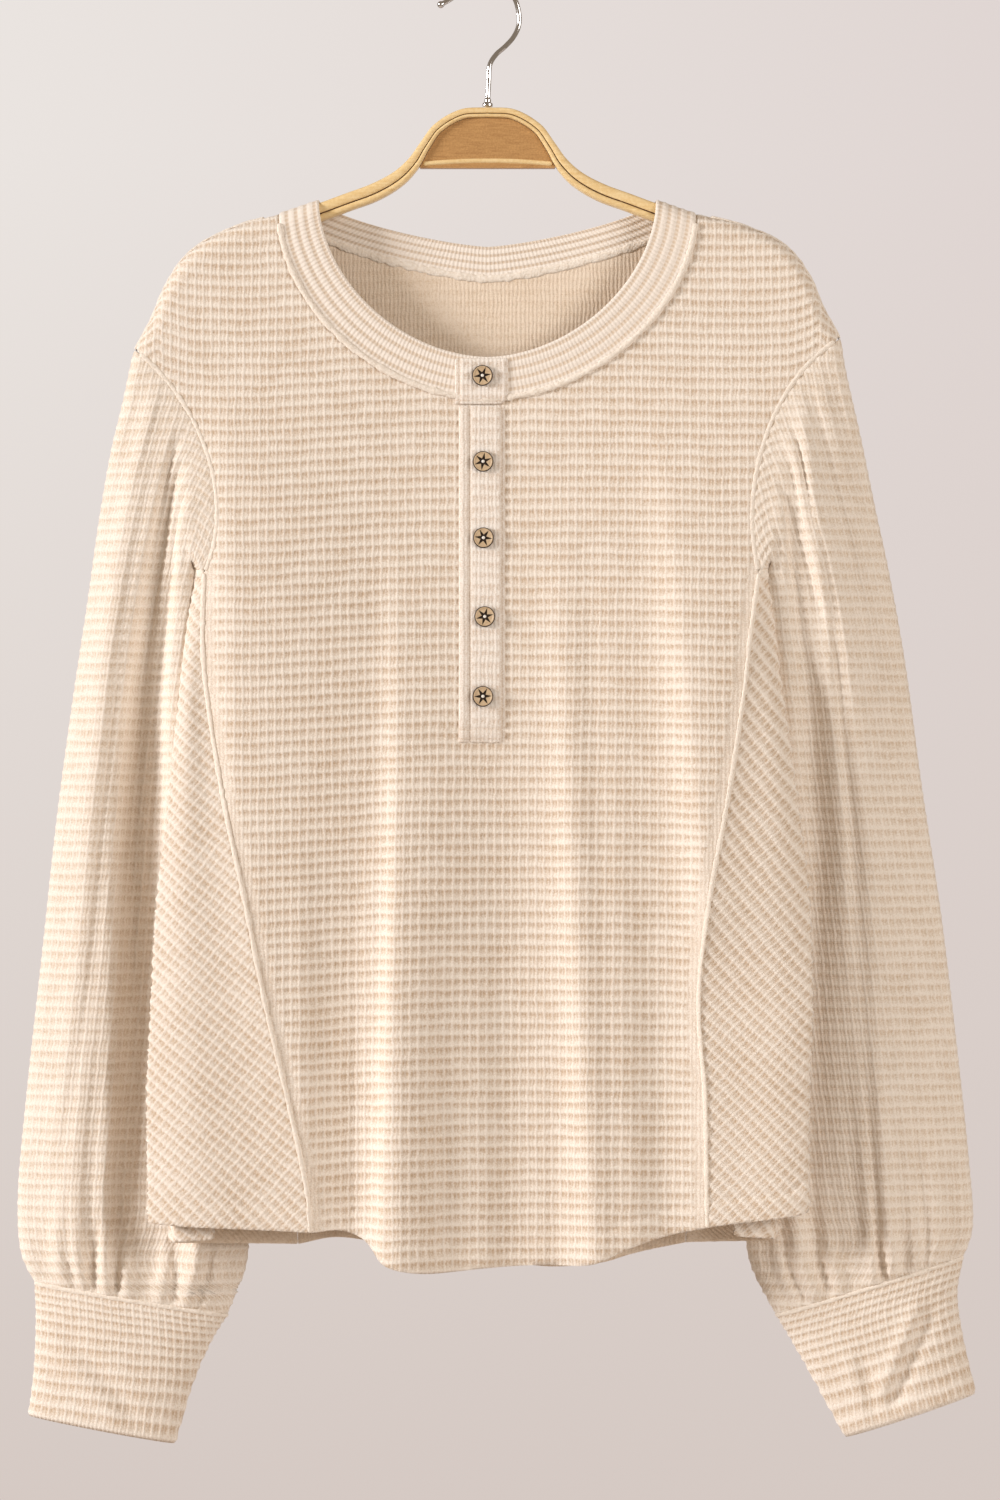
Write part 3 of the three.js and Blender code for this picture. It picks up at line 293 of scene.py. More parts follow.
back_folds = [
    (-70, -84, 20, 20, 6, 3, -330, -700), (-28, -34, 22, 22, -5, 0, -330, -700),
    (14, 18, 20, 20, 6, -3, -360, -720), (56, 66, 22, 22, -4, 0, -330, -700),
    (92, 100, 18, 18, 4, 3, -380, -700), (-104, -108, 9, 12, -2, 0, -480, -720),
    (38, 44, 9, 12, 1.6, 0, -420, -690), (-6, -8, 8, 10, -1.6, 0, -400, -640)]


# %% The sheets as functions
def ridge(x):
    return shoulder.z(np.abs(x)) + np.where(x > 0, shoulder.right_rise(np.abs(x)), 0)


def ridge_slant(x):
    return np.hypot(1, (ridge(x + 1) - ridge(x - 1)) / 2)


def roll(x, z):
    below = np.maximum(ridge(x) - z, 0) / ridge_slant(x)
    return roll_radius * np.sqrt(1 - (1 - np.minimum(below / roll_radius, 1)) ** 2)


def folded(folds, x, z):
    out = shift = np.zeros(np.broadcast(x, z).shape)
    for top, hem, left, right, rise, lean, start, full in folds:
        grown = 1 - smoothstep(z, full, start)
        at = top + (hem - top) * np.clip((z - start) / (hem_z - start), 0, 1)
        crest = grown * bell((x - at) / np.where(x < at, left, right))
        out = out + rise * crest
        shift = shift + lean * crest
    return out, shift


def front_sheet(x, z):
    out, shift = folded(front_folds, x, z)
    belly = depths.front(z) * (1 - 0.25 * (x / 200) ** 2)
    return np.stack([x - shift, -(roll(x, z) + belly + out), z + 0 * x], -1)


def back_sheet(x, z):
    out, shift = folded(back_folds, x, z)
    fall_in = depths.back_sides(z) * np.minimum((x / 150) ** 2, 1.4)
    return np.stack([x - shift, roll(x, z) + depths.back(z) - fall_in + out, z + 0 * x], -1)


# %% [markdown]
# ## Flat cloth and hung cloth
# Cloth bends but hardly stretches, so each piece is drawn flat, with its threads straight, and a pair of
# functions goes between flat and hung. Over the arm the flat cloth is longer than it looks from the front,
# by the arc of the roll. The rows also drop a little toward the sides, where the gores pull them down.

# %% Between flat and hung, for the body
quarter_roll = roll_radius * math.pi / 2
sag_left, sag_right = 7, 2


def sag(x):
    return sag_left * smoothstep(-x, 20, 165) + sag_right * smoothstep(x, 60, 165)


def lay_flat(points):
    x, z = points[:, 0], points[:, 1]
    below = np.maximum(ridge(x) - z, 0) / ridge_slant(x)
    round_arm = roll_radius * np.arccos(1 - np.minimum(below / roll_radius, 1))
    along = np.where(below < roll_radius, round_arm, below - roll_radius + quarter_roll)
    return np.stack([x, ridge(x) - along * ridge_slant(x) + sag(x)], -1)


def hang_up(u, v):
    along = np.maximum(ridge(u) - v + sag(u), 0) / ridge_slant(u)
    round_arm = roll_radius * (1 - np.cos(np.minimum(along / roll_radius, math.pi / 2)))
    below = np.where(along < quarter_roll, round_arm, along - quarter_roll + roll_radius)
    return u, ridge(u) - below * ridge_slant(u)


# %% [markdown]
# ## Cutting and making up
# `cut_cloth` is the scissors. It lays a grid with a few steps to each waffle cell, deletes the faces
# outside the outline and draws the last row of corners onto it, so the cut edge is clean. `make_up` hangs
# the piece, raises the waffle along the cloth's own normals and gives it a wall. The wall is thicker under
# a rib, by a vertex group, so the inner face stays smooth, as the back of the real knit is.

# %% Outlines
def spaced(line, step):
    line = np.asarray(line, float)
    length = length_along(line)
    at = np.linspace(0, length[-1], max(int(length[-1] / step), 1) + 1)
    return np.stack([np.interp(at, length, line[:, k]) for k in range(line.shape[1])], -1)


def inside(points, outline):
    result = np.zeros(len(points), bool)
    x, y = points[:, 0], points[:, 1]
    for (x0, y0), (x1, y1) in zip(outline, np.roll(outline, -1, axis=0)):
        if y0 != y1:
            result ^= ((y0 > y) != (y1 > y)) & (x < x0 + (y - y0) * (x1 - x0) / (y1 - y0))
    return result


def nearest(points, line, step=0.5):
    dots = spaced(line, step)
    tree = KDTree(len(dots))
    for i, dot in enumerate(dots):
        tree.insert((*dot[:2], 0), i)
    tree.balance()
    found = [tree.find((u, v, 0)) for u, v in points]
    return np.array([f[2] for f in found]), dots[[f[1] for f in found]]


def flat_area(outline):
    x, y = outline[:, 0], outline[:, 1]
    return abs(np.dot(x, np.roll(y, -1)) - np.dot(y, np.roll(x, -1))) / 2


# %% Cut a piece from the grid
def turned(points, angle):
    c, s = math.cos(angle), math.sin(angle)
    return np.stack([points[:, 0] * c - points[:, 1] * s, points[:, 0] * s + points[:, 1] * c], -1)


def cut_cloth(outline, bias=0.0, cell_steps=cell_steps):
    steps = np.array([cell_width, cell_height]) / cell_steps
    on_grain = turned(outline, -bias)
    first = np.floor(on_grain.min(0) / steps) - 1
    count = (np.ceil(on_grain.max(0) / steps) + 1 - first).astype(int)
    bm = bmesh.new()
    bmesh.ops.create_grid(bm, x_segments=count[0], y_segments=count[1], size=0.5)
    for vert in bm.verts:
        vert.co.x = (first[0] + (vert.co.x + 0.5) * count[0]) * steps[0]
        vert.co.y = (first[1] + (vert.co.y + 0.5) * count[1]) * steps[1]
    grain = np.array([vert.co[:2] for vert in bm.verts])
    flat = turned(grain, bias)
    away, edge = nearest(flat, closed(outline))
    kept = inside(flat, outline) & (away > 0.35 * steps[0])
    for vert, keep in zip(bm.verts, kept):
        vert.tag = bool(keep)
    spare = [face for face in bm.faces if not any(vert.tag for vert in face.verts)]
    for vert, place in zip(bm.verts, turned(edge, -bias)):
        if not vert.tag:
            vert.co.xy = place
    bmesh.ops.delete(bm, geom=spare, context="FACES")
    return bm


# %% Hang a piece, raise its waffle and give it a wall
def waffle_height(grain):
    turns = 2 * math.pi * grain / [cell_width, cell_height]
    wave = np.clip((np.cos(turns) + 0.1) / 1.1, 0, 1)
    return np.maximum(0.6 * wave[:, 0], wave[:, 1])


def link(name, mesh):
    piece = bpy.data.objects.new(name, mesh)
    bpy.context.scene.collection.objects.link(piece)
    return piece


def mesh_from(bm, name, smooth=True):
    mesh = bpy.data.meshes.new(name)
    bm.to_mesh(mesh)
    bm.free()
    mesh.shade_smooth() if smooth else mesh.shade_flat()
    return mesh


def positions(mesh):
    co = np.zeros(3 * len(mesh.vertices), np.float32)
    mesh.vertices.foreach_get("co", co)
    return co.reshape(-1, 3).astype(float)


def normals(mesh):
    mesh.update()
    found = np.zeros(3 * len(mesh.vertices), np.float32)
    mesh.vertex_normals.foreach_get("vector", found)
    return found.reshape(-1, 3).astype(float)


def store(mesh, name, values):
    attribute = mesh.attributes.new(name, "FLOAT", "POINT")
    attribute.data.foreach_set("value", np.asarray(values, np.float32))


def store_uv(mesh, flat):
    layer = mesh.uv_layers.new(name="flat_cloth")
    corner = np.zeros(len(mesh.loops), np.int32)
    mesh.loops.foreach_get("vertex_index", corner)
    layer.data.foreach_set("uv", (flat[corner] / 1000).astype(np.float32).ravel())


def give_wall(piece, thickness, share=None):
    wall = piece.modifiers.new("wall", "SOLIDIFY")
    wall.thickness = thickness / 1000
    wall.offset = -1
    wall.use_even_offset = False
    if share is not None:
        group = piece.vertex_groups.new(name="wall")
        levels = np.round(share, 2)
        for level in np.unique(levels):
            group.add(np.nonzero(levels == level)[0].tolist(), float(level), "REPLACE")
        wall.vertex_group = group.name
    return wall


def make_up(name, outline, place, bias=0.0, flip=False, plain=None, lift=None, cell_steps=cell_steps,
            depth=waffle_depth, wall=cloth_wall, face=waffle_face):
    bm = cut_cloth(outline, bias, cell_steps)
    if flip:
        bmesh.ops.reverse_faces(bm, faces=bm.faces)
    mesh = mesh_from(bm, name)
    grain = positions(mesh)[:, :2]
    flat = turned(grain, bias)
    store_uv(mesh, grain)
    edge_away, _ = nearest(flat, closed(outline))
    hung = place(flat[:, 0], flat[:, 1])
    mesh.vertices.foreach_set("co", (hung / 1000).astype(np.float32).ravel())
    out = normals(mesh)
    bare = plain(flat) if plain else np.zeros(len(flat))
    relief = waffle_height(grain) * depth * smoothstep(edge_away, 0, 3) * (1 - 0.8 * np.minimum(bare, 1))
    extra = lift(flat) if lift else 0
    raised = hung + out * (relief + extra)[:, None]
    mesh.vertices.foreach_set("co", (raised / 1000).astype(np.float32).ravel())
    # The plain attribute marks flat cloth and carries the painted shade of stitched grooves
    store(mesh, "plain", bare)
    mesh.update()
    piece = link(name, mesh)
    mesh.materials.append(face)
    mesh.materials.append(waffle_back)
    give_wall(piece, wall + depth, (wall + relief) / (wall + depth)).material_offset = 1
    area = flat_area(outline)
    print(name, len(mesh.polygons) * 4, "triangles, flat", (outline.max(0) - outline.min(0)).round(),
          "mm, area", round(area / 1e6, 4), "m2")
    return piece


def belongs(piece, slot, *nodes):
    if nodes:
        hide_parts(*nodes)
    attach(piece, "root")


def declare(piece, outline, node):
    belongs(piece, "waffle_knit", node)
    flat_area(outline) / 1e6


# %% [markdown]
# ## Front and back
# The outline runs along one shoulder, round the neck, along the other shoulder, down an armhole and a side
# seam, and back along the hem. The neck is an oval with a slightly square bottom.

# %% Outlines of the body
neck = {"front": (131, -145.5, 117, 1.85), "back": (131, -145.5, 40, 1.35)}
armhole_points = {
    "left": [(-222, -231), (-181, -262), (-156, -325), (-177.5, underarm_z)],
    "right": [(222, -224), (179, -248), (156, -316), (170, underarm_z)]}
side_names = "z seam fold pleat back_fold back_seam"
sides = {
    "left": curves(side_names, [
        (-372, -177.5, -184, -184, -184, -177.5), (-415, -178.5, -189.5, -187, -188, -178.5),
        (-450, -175.5, -193.5, -186.5, -191, -175), (-514, -165, -199.5, -187, -195, -164),
        (-577, -151.5, -205.5, -187, -199, -152), (-640, -139, -208, -186, -201, -141),
        (-700, -125, -209.5, -181, -200.5, -131), (-760, -112.5, -208, -174, -198, -122),
        (-794, -110.5, -207.5, -170, -196, -119)]),
    "right": curves(side_names, [
        (-372, 170, 176.5, 176.5, 176.5, 170), (-415, 164, 181, 178, 179.5, 168),
        (-450, 160, 185.5, 177.5, 183, 165), (-514, 150, 193.5, 175, 188, 158),
        (-577, 138.5, 199.5, 177.5, 190, 148), (-640, 132, 201, 174, 189, 140),
        (-700, 136, 199.5, 166, 185, 132), (-760, 137, 199, 157, 181, 127),
        (-794, 137.7, 199.5, 153, 179, 125)])}
side_hems = {
    "left": curves("at z", [(0, -784.5), (2, -776), (4, -779), (5.2, -788), (8, -792), (10, -794)]),
    "right": curves("at z", [(0, -781.5), (2, -768), (4, -772), (5.2, -785), (8, -790), (10, -793)])}
front_hem = curves("x z", [
    (-110.5, -784.5), (-92, -783.5), (-77, -789), (-64, -802), (-50, -807.5), (-30, -809), (0, -806.5),
    (30, -805), (69, -804), (93, -793.5), (112, -787), (137.7, -781.5)])
back_hem = curves("x z", [
    (-119, -794), (-98, -790.5), (-78, -792), (-24, -803), (34, -809), (68, -806.5), (93, -801), (125, -793)])


# %% Edges as lines in the front view
edge_step = 3


def neck_oval(half_width, top, drop, power, count=90):
    angle = np.linspace(-math.pi / 2, math.pi / 2, count)
    across = np.sign(angle) * np.abs(np.sin(angle)) ** (2 / power)
    return np.stack([half_width * across, top - drop * np.cos(angle) ** (2 / power)], -1)


def bezier(points, t):
    a, b, c, d = [np.array(p, float) for p in points]
    t = np.asarray(t)[..., None]
    return a * (1 - t) ** 3 + 3 * b * t * (1 - t) ** 2 + 3 * c * t * t * (1 - t) + d * t ** 3


def shoulder_line(side, count=40):
    x = side * np.linspace(222, 131, count)
    return np.stack([x, ridge(x)], -1)


def side_line(name, seam, at):
    z = np.linspace(underarm_z, float(side_hems[name].z(at)), 40)
    return np.stack([getattr(sides[name], seam)(z), z], -1)


def body_edges(oval, seam, hem, at):
    t = np.linspace(0, 1, 50)
    left, right = side_line("left", seam, at), side_line("right", seam, at)
    across = np.linspace(right[-1, 0], left[-1, 0], 80)
    hem_line = np.stack([across, hem(across)], -1)
    hem_line[0], hem_line[-1] = right[-1], left[-1]
    lines = {
        "left_shoulder": shoulder_line(-1), "neck": neck_oval(*oval),
        "right_shoulder": shoulder_line(1)[::-1],
        "right_armhole": bezier(armhole_points["right"], t), "right_side": right, "hem": hem_line,
        "left_side": left[::-1], "left_armhole": bezier(armhole_points["left"], t)[::-1]}
    return {name: lay_flat(spaced(line, edge_step)) for name, line in lines.items()}


# %% Flattened strips beside the side seams, the placket and the hem
strip_width = 7.5
hem_rise = 0.55
hem_groove = 0.75


def strips(edges, names, flat):
    bare = np.zeros(len(flat))
    for name in names:
        away, _ = nearest(flat, edges[name], 2)
        bare = np.maximum(bare, 1 - smoothstep(away, strip_width - 1, strip_width + 1))
    return bare


def turned_hem(edges, flat):
    away, _ = nearest(flat, edges["hem"], 1)
    fold = hem_rise * (1 - smoothstep(away, hem_depth - 1, hem_depth + 1))
    return fold - hem_groove * bell((away - hem_depth) / 1.3)


def body_piece(name, sheet, seam, hem, at, flip, cell_steps=cell_steps):
    edges = body_edges(neck[name], seam, hem, at)
    outline = np.vstack(list(edges.values()))
    piece = make_up(
        name, outline, lambda u, v: sheet(*hang_up(u, v)), flip=flip, cell_steps=cell_steps,
        plain=lambda flat: strips(edges, ["left_side", "right_side"], flat),
        lift=lambda flat: turned_hem(edges, flat))
    declare(piece, outline, name + "_panel")


body_piece("front", front_sheet, "seam", front_hem.z, 0, False)
body_piece("back", back_sheet, "back_seam", back_hem.z, 10, True, cell_steps=(3, 2))


# %% [markdown]
# ## Unrolling a tube
# A gore, a sleeve and a cuff each wrap round, so their flat shape isn't seen from the front. `unroll` takes
# points on level sections of the wrapped form, measures along each section, and gives back the cloth as a
# map from flat to hung. It is what a pattern cutter does with paper round a dress form.

# %% Unroll level sections
level_step = 2.0


def unroll(heights, points, origin, scale=None):
    steps = np.linalg.norm(np.diff(points, axis=1), axis=2)
    arc = np.concatenate([np.zeros((len(points), 1)), np.cumsum(steps, axis=1)], axis=1)
    arc = arc - arc[:, [origin]]
    if scale is not None:
        arc = arc * scale[:, None]
    places = np.arange(arc.min() - 4, arc.max() + 4, 1.0)
    table = np.stack([
        np.stack([np.interp(places, row, side[:, k]) for k in range(3)], -1)
        for row, side in zip(arc, points)])
    rising = heights[::-1]

    def place(u, v):
        i = np.clip((v - heights[0]) / (heights[1] - heights[0]), 0, len(heights) - 1.001)
        j = np.clip(u - places[0], 0, len(places) - 1.001)
        i0, j0 = i.astype(int), j.astype(int)
        a, b = (i - i0)[:, None], (j - j0)[:, None]
        return ((table[i0, j0] * (1 - b) + table[i0, j0 + 1] * b) * (1 - a)
                + (table[i0 + 1, j0] * (1 - b) + table[i0 + 1, j0 + 1] * b) * a)

    def flat_at(spot, height):
        spot, height = np.broadcast_arrays(spot, height)
        u = [np.interp(z, rising, arc[::-1, s]) for s, z in zip(spot, height)]
        return np.stack([u, height], -1)

    return place, flat_at


# %% [markdown]
# ## Side gores
# Each gore fills the side from the underarm to the hem. It is cut on the bias, so its waffle runs at 45
# degrees, and it hangs in one deep pleat between the front and the back.

# %% The gores' level sections
side_depths = curves("z front back pleating", [
    (-372, -14.5, 4, 0), (-415, -16.5, 1, 0.05), (-450, -19, -1.5, 0.25), (-514, -21, -3, 0.7),
    (-577, -22, -3.5, 1), (-640, -23, -4, 1), (-794, -25, -4, 1)])
pleated_depth = [0, 0.6, 1.2, 1.2, 1.6, 2, 2, 3.6, 6]
plain_depth = [0, 1, 1.8, 2.4, 3, 3.6, 4.2, 5, 6]


def gore_section(name, z):
    side = sides[name]
    inward = 1 if name == "left" else -1
    depth = side_depths.back(z) - side_depths.front(z)
    turn = inward * depth / 6
    fold, pleat, back_fold = side.fold(z), side.pleat(z), side.back_fold(z)
    pleated = [fold + turn, fold, fold + turn, pleat - turn, pleat, pleat - turn,
               back_fold + turn, back_fold, back_fold + turn]
    share = side_depths.pleating(z)
    path = [front_sheet(side.seam(z), z)]
    for i, x in enumerate(pleated):
        plain = fold + (back_fold - fold) * i / 8 + (turn if i in (0, 8) else 0)
        y = side_depths.front(z) + depth / 6 * (plain_depth[i] + (pleated_depth[i] - plain_depth[i]) * share)
        path.append(np.stack([plain + (x - plain) * share, y, z], -1))
    path.append(back_sheet(side.back_seam(z), z))
    return path


def through(points, at):
    i = np.minimum(np.floor(at).astype(int), len(points) - 2)
    t = (at - i)[None, :, None]
    stack = np.stack(points, 1)
    p, q, r, s = [stack[:, np.clip(i + k, 0, len(points) - 1)] for k in (-1, 0, 1, 2)]
    return 0.5 * (2 * q + (r - p) * t + (2 * p - 5 * q + 4 * r - s) * t ** 2
                  + (3 * q - p - 3 * r + s) * t ** 3)


# %% Cut and hang the gores
gore_crest = {"left": 4.0, "right": 1.5}


def gore(name, bias, flip):
    heights = np.arange(underarm_z + 4, -802, -level_step)
    stops = np.linspace(0, 10, 201)
    points = through(gore_section(name, heights), stops)
    crest = bell((stops - 0.72) / 0.28)[None] * smoothstep(-heights, 380, 520)[:, None]
    points[..., 1] -= gore_crest[name] * crest
    place, flat_at = unroll(heights, points, 0)
    hem = side_hems[name].z(stops)
    every = np.arange(len(stops))
    far = flat_at(every[-1], np.linspace(underarm_z, hem[-1], 60))
    near = np.array([(0, hem[0]), (0, underarm_z)])
    top, bottom = flat_at(every, float(underarm_z)), flat_at(every, hem)
    edges = {"top": top, "far": far, "hem": bottom[::-1], "near": near}
    outline = np.vstack([spaced(line, edge_step) for line in edges.values()])
    piece = make_up("gore_" + name, outline, place, bias=bias, flip=flip,
                    lift=lambda flat: turned_hem(edges, flat))
    declare(piece, outline, "side_panel_" + name)


gore("left", math.radians(45), True)
gore("right", math.radians(-45), False)

# %% [markdown]
# ## Sleeves
# The sleeves are full tubes that hang a little behind the body. Their sections are given from the armhole
# to the cuff, and their long folds run the whole way down. Where the sleeve is sewn into the armhole and
# the cuff, it is gathered into small puckers.

# %% Sleeve sections and folds
depth_rows = [
    (-5, 11, 1, 1, 1), (-5, 12, 0.93, 0.35, 0.85), (-3, 13, 0.8, 0, 0.5), (0, 15, 0.5, 0, 0.2),
    (5, 17, 0.2, 0, 0), (10, 18, 0, 0, 0), (16, 18, 0, 0, 0), (19, 18, 0, 0, 0), (20, 18.5, 0, 0, 0),
    (21, 19, 0, 0, 0), (21, 19, 0, 0, 0), (19, 16, 0, 0, 0), (17, 11, 0, 0, 0)]
left_rows = [
    (-222, -231, -185, -369), (-225, -245, -186, -366), (-229.5, -266, -183, -380),
    (-237, -297, -182, -408), (-245, -341, -183, -442), (-252, -388, -184, -476), (-262, -451, -182, -516),
    (-272.5, -527, -177, -577), (-281.5, -609, -165, -647), (-291, -694, -156, -719),
    (-297, -760, -151.5, -782), (-295.5, -799, -154.5, -814), (-286.5, -820, -165, -840.5)]
right_rows = [
    (222, -224, 177, -369), (224, -239, 178, -366), (228, -258, 175, -380), (235, -288, 173, -408),
    (244, -330, 174, -442), (253, -370, 175, -476), (264, -429, 174, -516), (274.5, -505, 174, -577),
    (286.5, -584, 166, -647), (296.5, -666, 162.5, -719), (304.5, -741, 163, -776), (307, -783, 167.5, -810),
    (301, -804, 183, -840.5)]
# face, place at the cap, middle and cuff, rise at the cap, middle and cuff, width on the outer and the
# inner side
left_folds = [
    ("front", 0.2, 0.2, 0.2, 3, 5, 4, 13, 10), ("front", 0.47, 0.5, 0.48, -8, -14, -9, 10, 16),
    ("front", 0.64, 0.68, 0.66, -5, -11, -7, 14, 7), ("front", 0.8, 0.86, 0.8, 2, 4, 3, 6, 7),
    ("back", 0.25, 0.3, 0.3, -5, -6, -4, 11, 11), ("back", 0.5, 0.55, 0.6, 4, 4, 3, 13, 13),
    ("front", 0.3, 0.32, 0.1, -1.5, -1.5, -2.5, 5, 5), ("front", 0.6, 0.58, 0.32, 1.5, 2, -3, 4, 5)]
right_folds = [
    ("front", 0.82, 0.82, 0.8, 3, 4, 2, 9, 9), ("front", 0.6, 0.66, 0.68, -4, -4.5, -4, 10, 12),
    ("front", 0.38, 0.36, 0.4, 2, 2.5, 3, 14, 14), ("front", 0.2, 0.2, 0.22, -3, -1, -1.5, 9, 9),
    ("back", 0.25, 0.3, 0.3, -5, -6, -4, 11, 11), ("back", 0.5, 0.55, 0.6, 4, 4, 3, 13, 13),
    ("front", 0.3, 0.5, 0.5, 2, 2.4, -3, 4, 7), ("front", 0.7, 0.45, 0.3, -2, -2, 2.4, 5, 6)]
section_names = "share outer_x outer_z inner_x inner_z centre half bulge dip join"
section_shares = np.linspace(0, 1, len(depth_rows))
sleeve_sections = {
    name: curves(section_names, [(s, *row, *deep) for s, row, deep in zip(section_shares, rows, depth_rows)])
    for name, rows in (("left", left_rows), ("right", right_rows))}
cap_gathers = {"front": 7, "back": 4, "height": 3.0, "reach": 0.08}
cuff_gathers = {"front": 8, "back": 4, "height": 3.2, "reach": 0.055}
under_angle = 0.3
# Beside the lower half of the front armhole the sleeve is tucked back, so the body's edge stands over it
tuck = {"deep": 8.0, "share": 0.036, "spread": 0.022}
# Shares of the length where the long folds are full, and where the sleeve has left the armhole's own shape
fold_start, fold_end = 0.1, 0.88
settle_share = 0.052


# %% One point of a sleeve
def three_way(share, cap, middle, cuff):
    upper = cap + (middle - cap) * smoothstep(share, 0, 0.5)
    lower = middle + (cuff - middle) * smoothstep(share, 0.5, 1)
    return np.where(share < 0.5, upper, lower)


def puckers(gathers, face, share, place, phase):
    reach = share / gathers["reach"]
    uneven_place = place + 0.022 * np.sin(11 * place + 3 * phase) + 0.012 * np.sin(29 * place)
    size = gathers["height"] * (1 + 0.4 * np.sin(17 * place + phase))
    return size * reach * np.exp(1 - reach) * np.sin(2 * math.pi * gathers[face] * uneven_place + phase)


def armhole_ring(name, angle):
    place = (1 - np.cos(angle)) / 2
    widest = (1 + math.cos(under_angle)) / 2
    seam = bezier(armhole_points[name], np.clip(place / widest, 0, 1))
    at_front = front_sheet(seam[:, 0], seam[:, 1])
    at_back = back_sheet(seam[:, 0], seam[:, 1])
    turn = np.mod(angle, 2 * math.pi)
    result = np.where((turn < math.pi)[:, None], at_front, at_back)
    under = np.abs(turn - math.pi) < under_angle
    path = through(gore_section(name, np.array([float(underarm_z)])),
                   10 * (turn[under] - math.pi + under_angle) / (2 * under_angle))[0]
    result[under] = path
    return result


def sleeve_points(name, folds, shares, angle):
    section = sleeve_sections[name]
    share = shares[:, None] + 0 * angle[None]
    place = (1 - np.cos(angle))[None] / 2 + 0 * share
    ends = np.array(armhole_points[name], float)
    chord = ends[0] + (ends[3] - ends[0]) * np.array([[1 / 3], [2 / 3]])
    bulges = ends[1:3] - chord
    outer = np.stack([section.outer_x(share), section.outer_z(share)], -1)
    inner = np.stack([section.inner_x(share), section.inner_z(share)], -1)
    first = outer + (inner - outer) / 3 + bulges[0] * section.bulge(share)[..., None]
    second = outer + (inner - outer) * 2 / 3 + bulges[1] * section.dip(share)[..., None]
    across = bezier([outer, first, second, inner], place)
    width = np.linalg.norm(inner - outer, axis=-1)
    turn = np.mod(angle, 2 * math.pi)[None] + 0 * share
    rise = np.zeros(share.shape)
    for face, cap, middle, cuff, cap_rise, middle_rise, cuff_rise, outer_spread, inner_spread in folds:
        at = three_way(share, cap, middle, cuff)
        ends_fade = smoothstep(share, 0, fold_start) * (1 - smoothstep(share, fold_end, 1))
        crest = three_way(share, cap_rise, middle_rise, cuff_rise) * ends_fade
        crest = crest * bell((place - at) * width / np.where(place < at, outer_spread, inner_spread))
        rise = rise + np.where((turn < math.pi) == (face == "front"), crest, 0)
    for face, here in (("front", turn < math.pi), ("back", turn >= math.pi)):
        small = puckers(cap_gathers, face, share, place, 0) + puckers(cuff_gathers, face, 1 - share, place, 1)
        rise = rise + np.where(here, small, 0)
    beside_seam = bell((share - tuck["share"]) / tuck["spread"]) * smoothstep(place, 0.3, 0.55)
    rise = rise - np.where(turn < math.pi, tuck["deep"] * beside_seam, 0)
    fade = np.sqrt(np.abs(np.sin(turn)))
    y = section.centre(share) - np.sin(turn) * (section.half(share) + rise * fade)
    ring = armhole_ring(name, angle)
    y = y + (ring[None, :, 1] - y) * np.clip(section.join(share), 0, 1)
    points = np.stack([across[..., 0], y, across[..., 1]], -1)
    settled = smoothstep(share, 0, settle_share)[..., None]
    return ring[None] + (points - ring[None]) * settled


# %% Cut and hang the sleeves
seam_angle = math.pi + 0.35
# Depths below the hook where the sleeve is at its fullest and where its gathers meet the cuff
full_depth, cuff_depth = 760, 818


def round_tube(overlap, count):
    start = seam_angle - 2 * math.pi
    angle = np.linspace(start - overlap, seam_angle + overlap, count)
    origin, *seams = [int(np.argmin(np.abs(angle - at))) for at in (0, start, seam_angle)]
    return angle, origin, seams


def level_sections(points, heights):
    step = np.diff(points, axis=0)
    fall = np.maximum(-step[..., 2], 0.5 * np.linalg.norm(step, axis=2))
    to_cuff = np.cumsum(fall[::-1], axis=0)[::-1]
    level = points[-1, :, 2] + np.concatenate([to_cuff, 0 * to_cuff[:1]])
    columns = [
        np.stack([np.interp(-heights, -level[:, a], points[:, a, k]) for k in range(3)], -1)
        for a in range(points.shape[1])]
    return np.stack(columns, 1), level[0]


def sleeve(name, folds, flip):
    angle, origin, seams = round_tube(0.3, 561)
    points = sleeve_points(name, folds, np.linspace(0, 1, 260) ** 1.1, angle)
    heights = np.arange(-180.0, -846, -level_step)
    sections, top_level = level_sections(points, heights)
    round_it = np.linalg.norm(np.diff(sections[:, seams[0]:seams[1]], axis=1), axis=2).sum(1)
    full = np.interp(full_depth, -heights, round_it)
    gathered = np.where(heights < -full_depth, full / np.maximum(round_it, 1), 1)
    gathered[heights < -cuff_depth] = np.interp(cuff_depth, -heights, gathered)
    place, flat_at = unroll(heights, sections, origin, np.maximum(gathered, 1))
    spots = np.arange(seams[0], seams[1] + 1, 2)

    def seam_line(spot):
        return flat_at(spot, np.linspace(top_level[spot], points[-1, spot, 2], 120))

    top, bottom = flat_at(spots, top_level[spots]), flat_at(spots, points[-1, spots, 2])
    lines = [top, seam_line(spots[-1]), bottom[::-1], seam_line(spots[0])[::-1]]
    outline = np.vstack([spaced(line, edge_step) for line in lines])
    piece = make_up("sleeve_cloth_" + name, outline, place, flip=flip, face=sleeve_knit)
    declare(piece, outline, "sleeve_" + name)


sleeve("left", left_folds, False)
sleeve("right", right_folds, True)

# %% [markdown]
# ## Cuffs
# A cuff is a long tube of the same knit with its waffle straight down the arm. Its sections are level with
# its own seam, not with the floor, so it is unrolled along its own length.

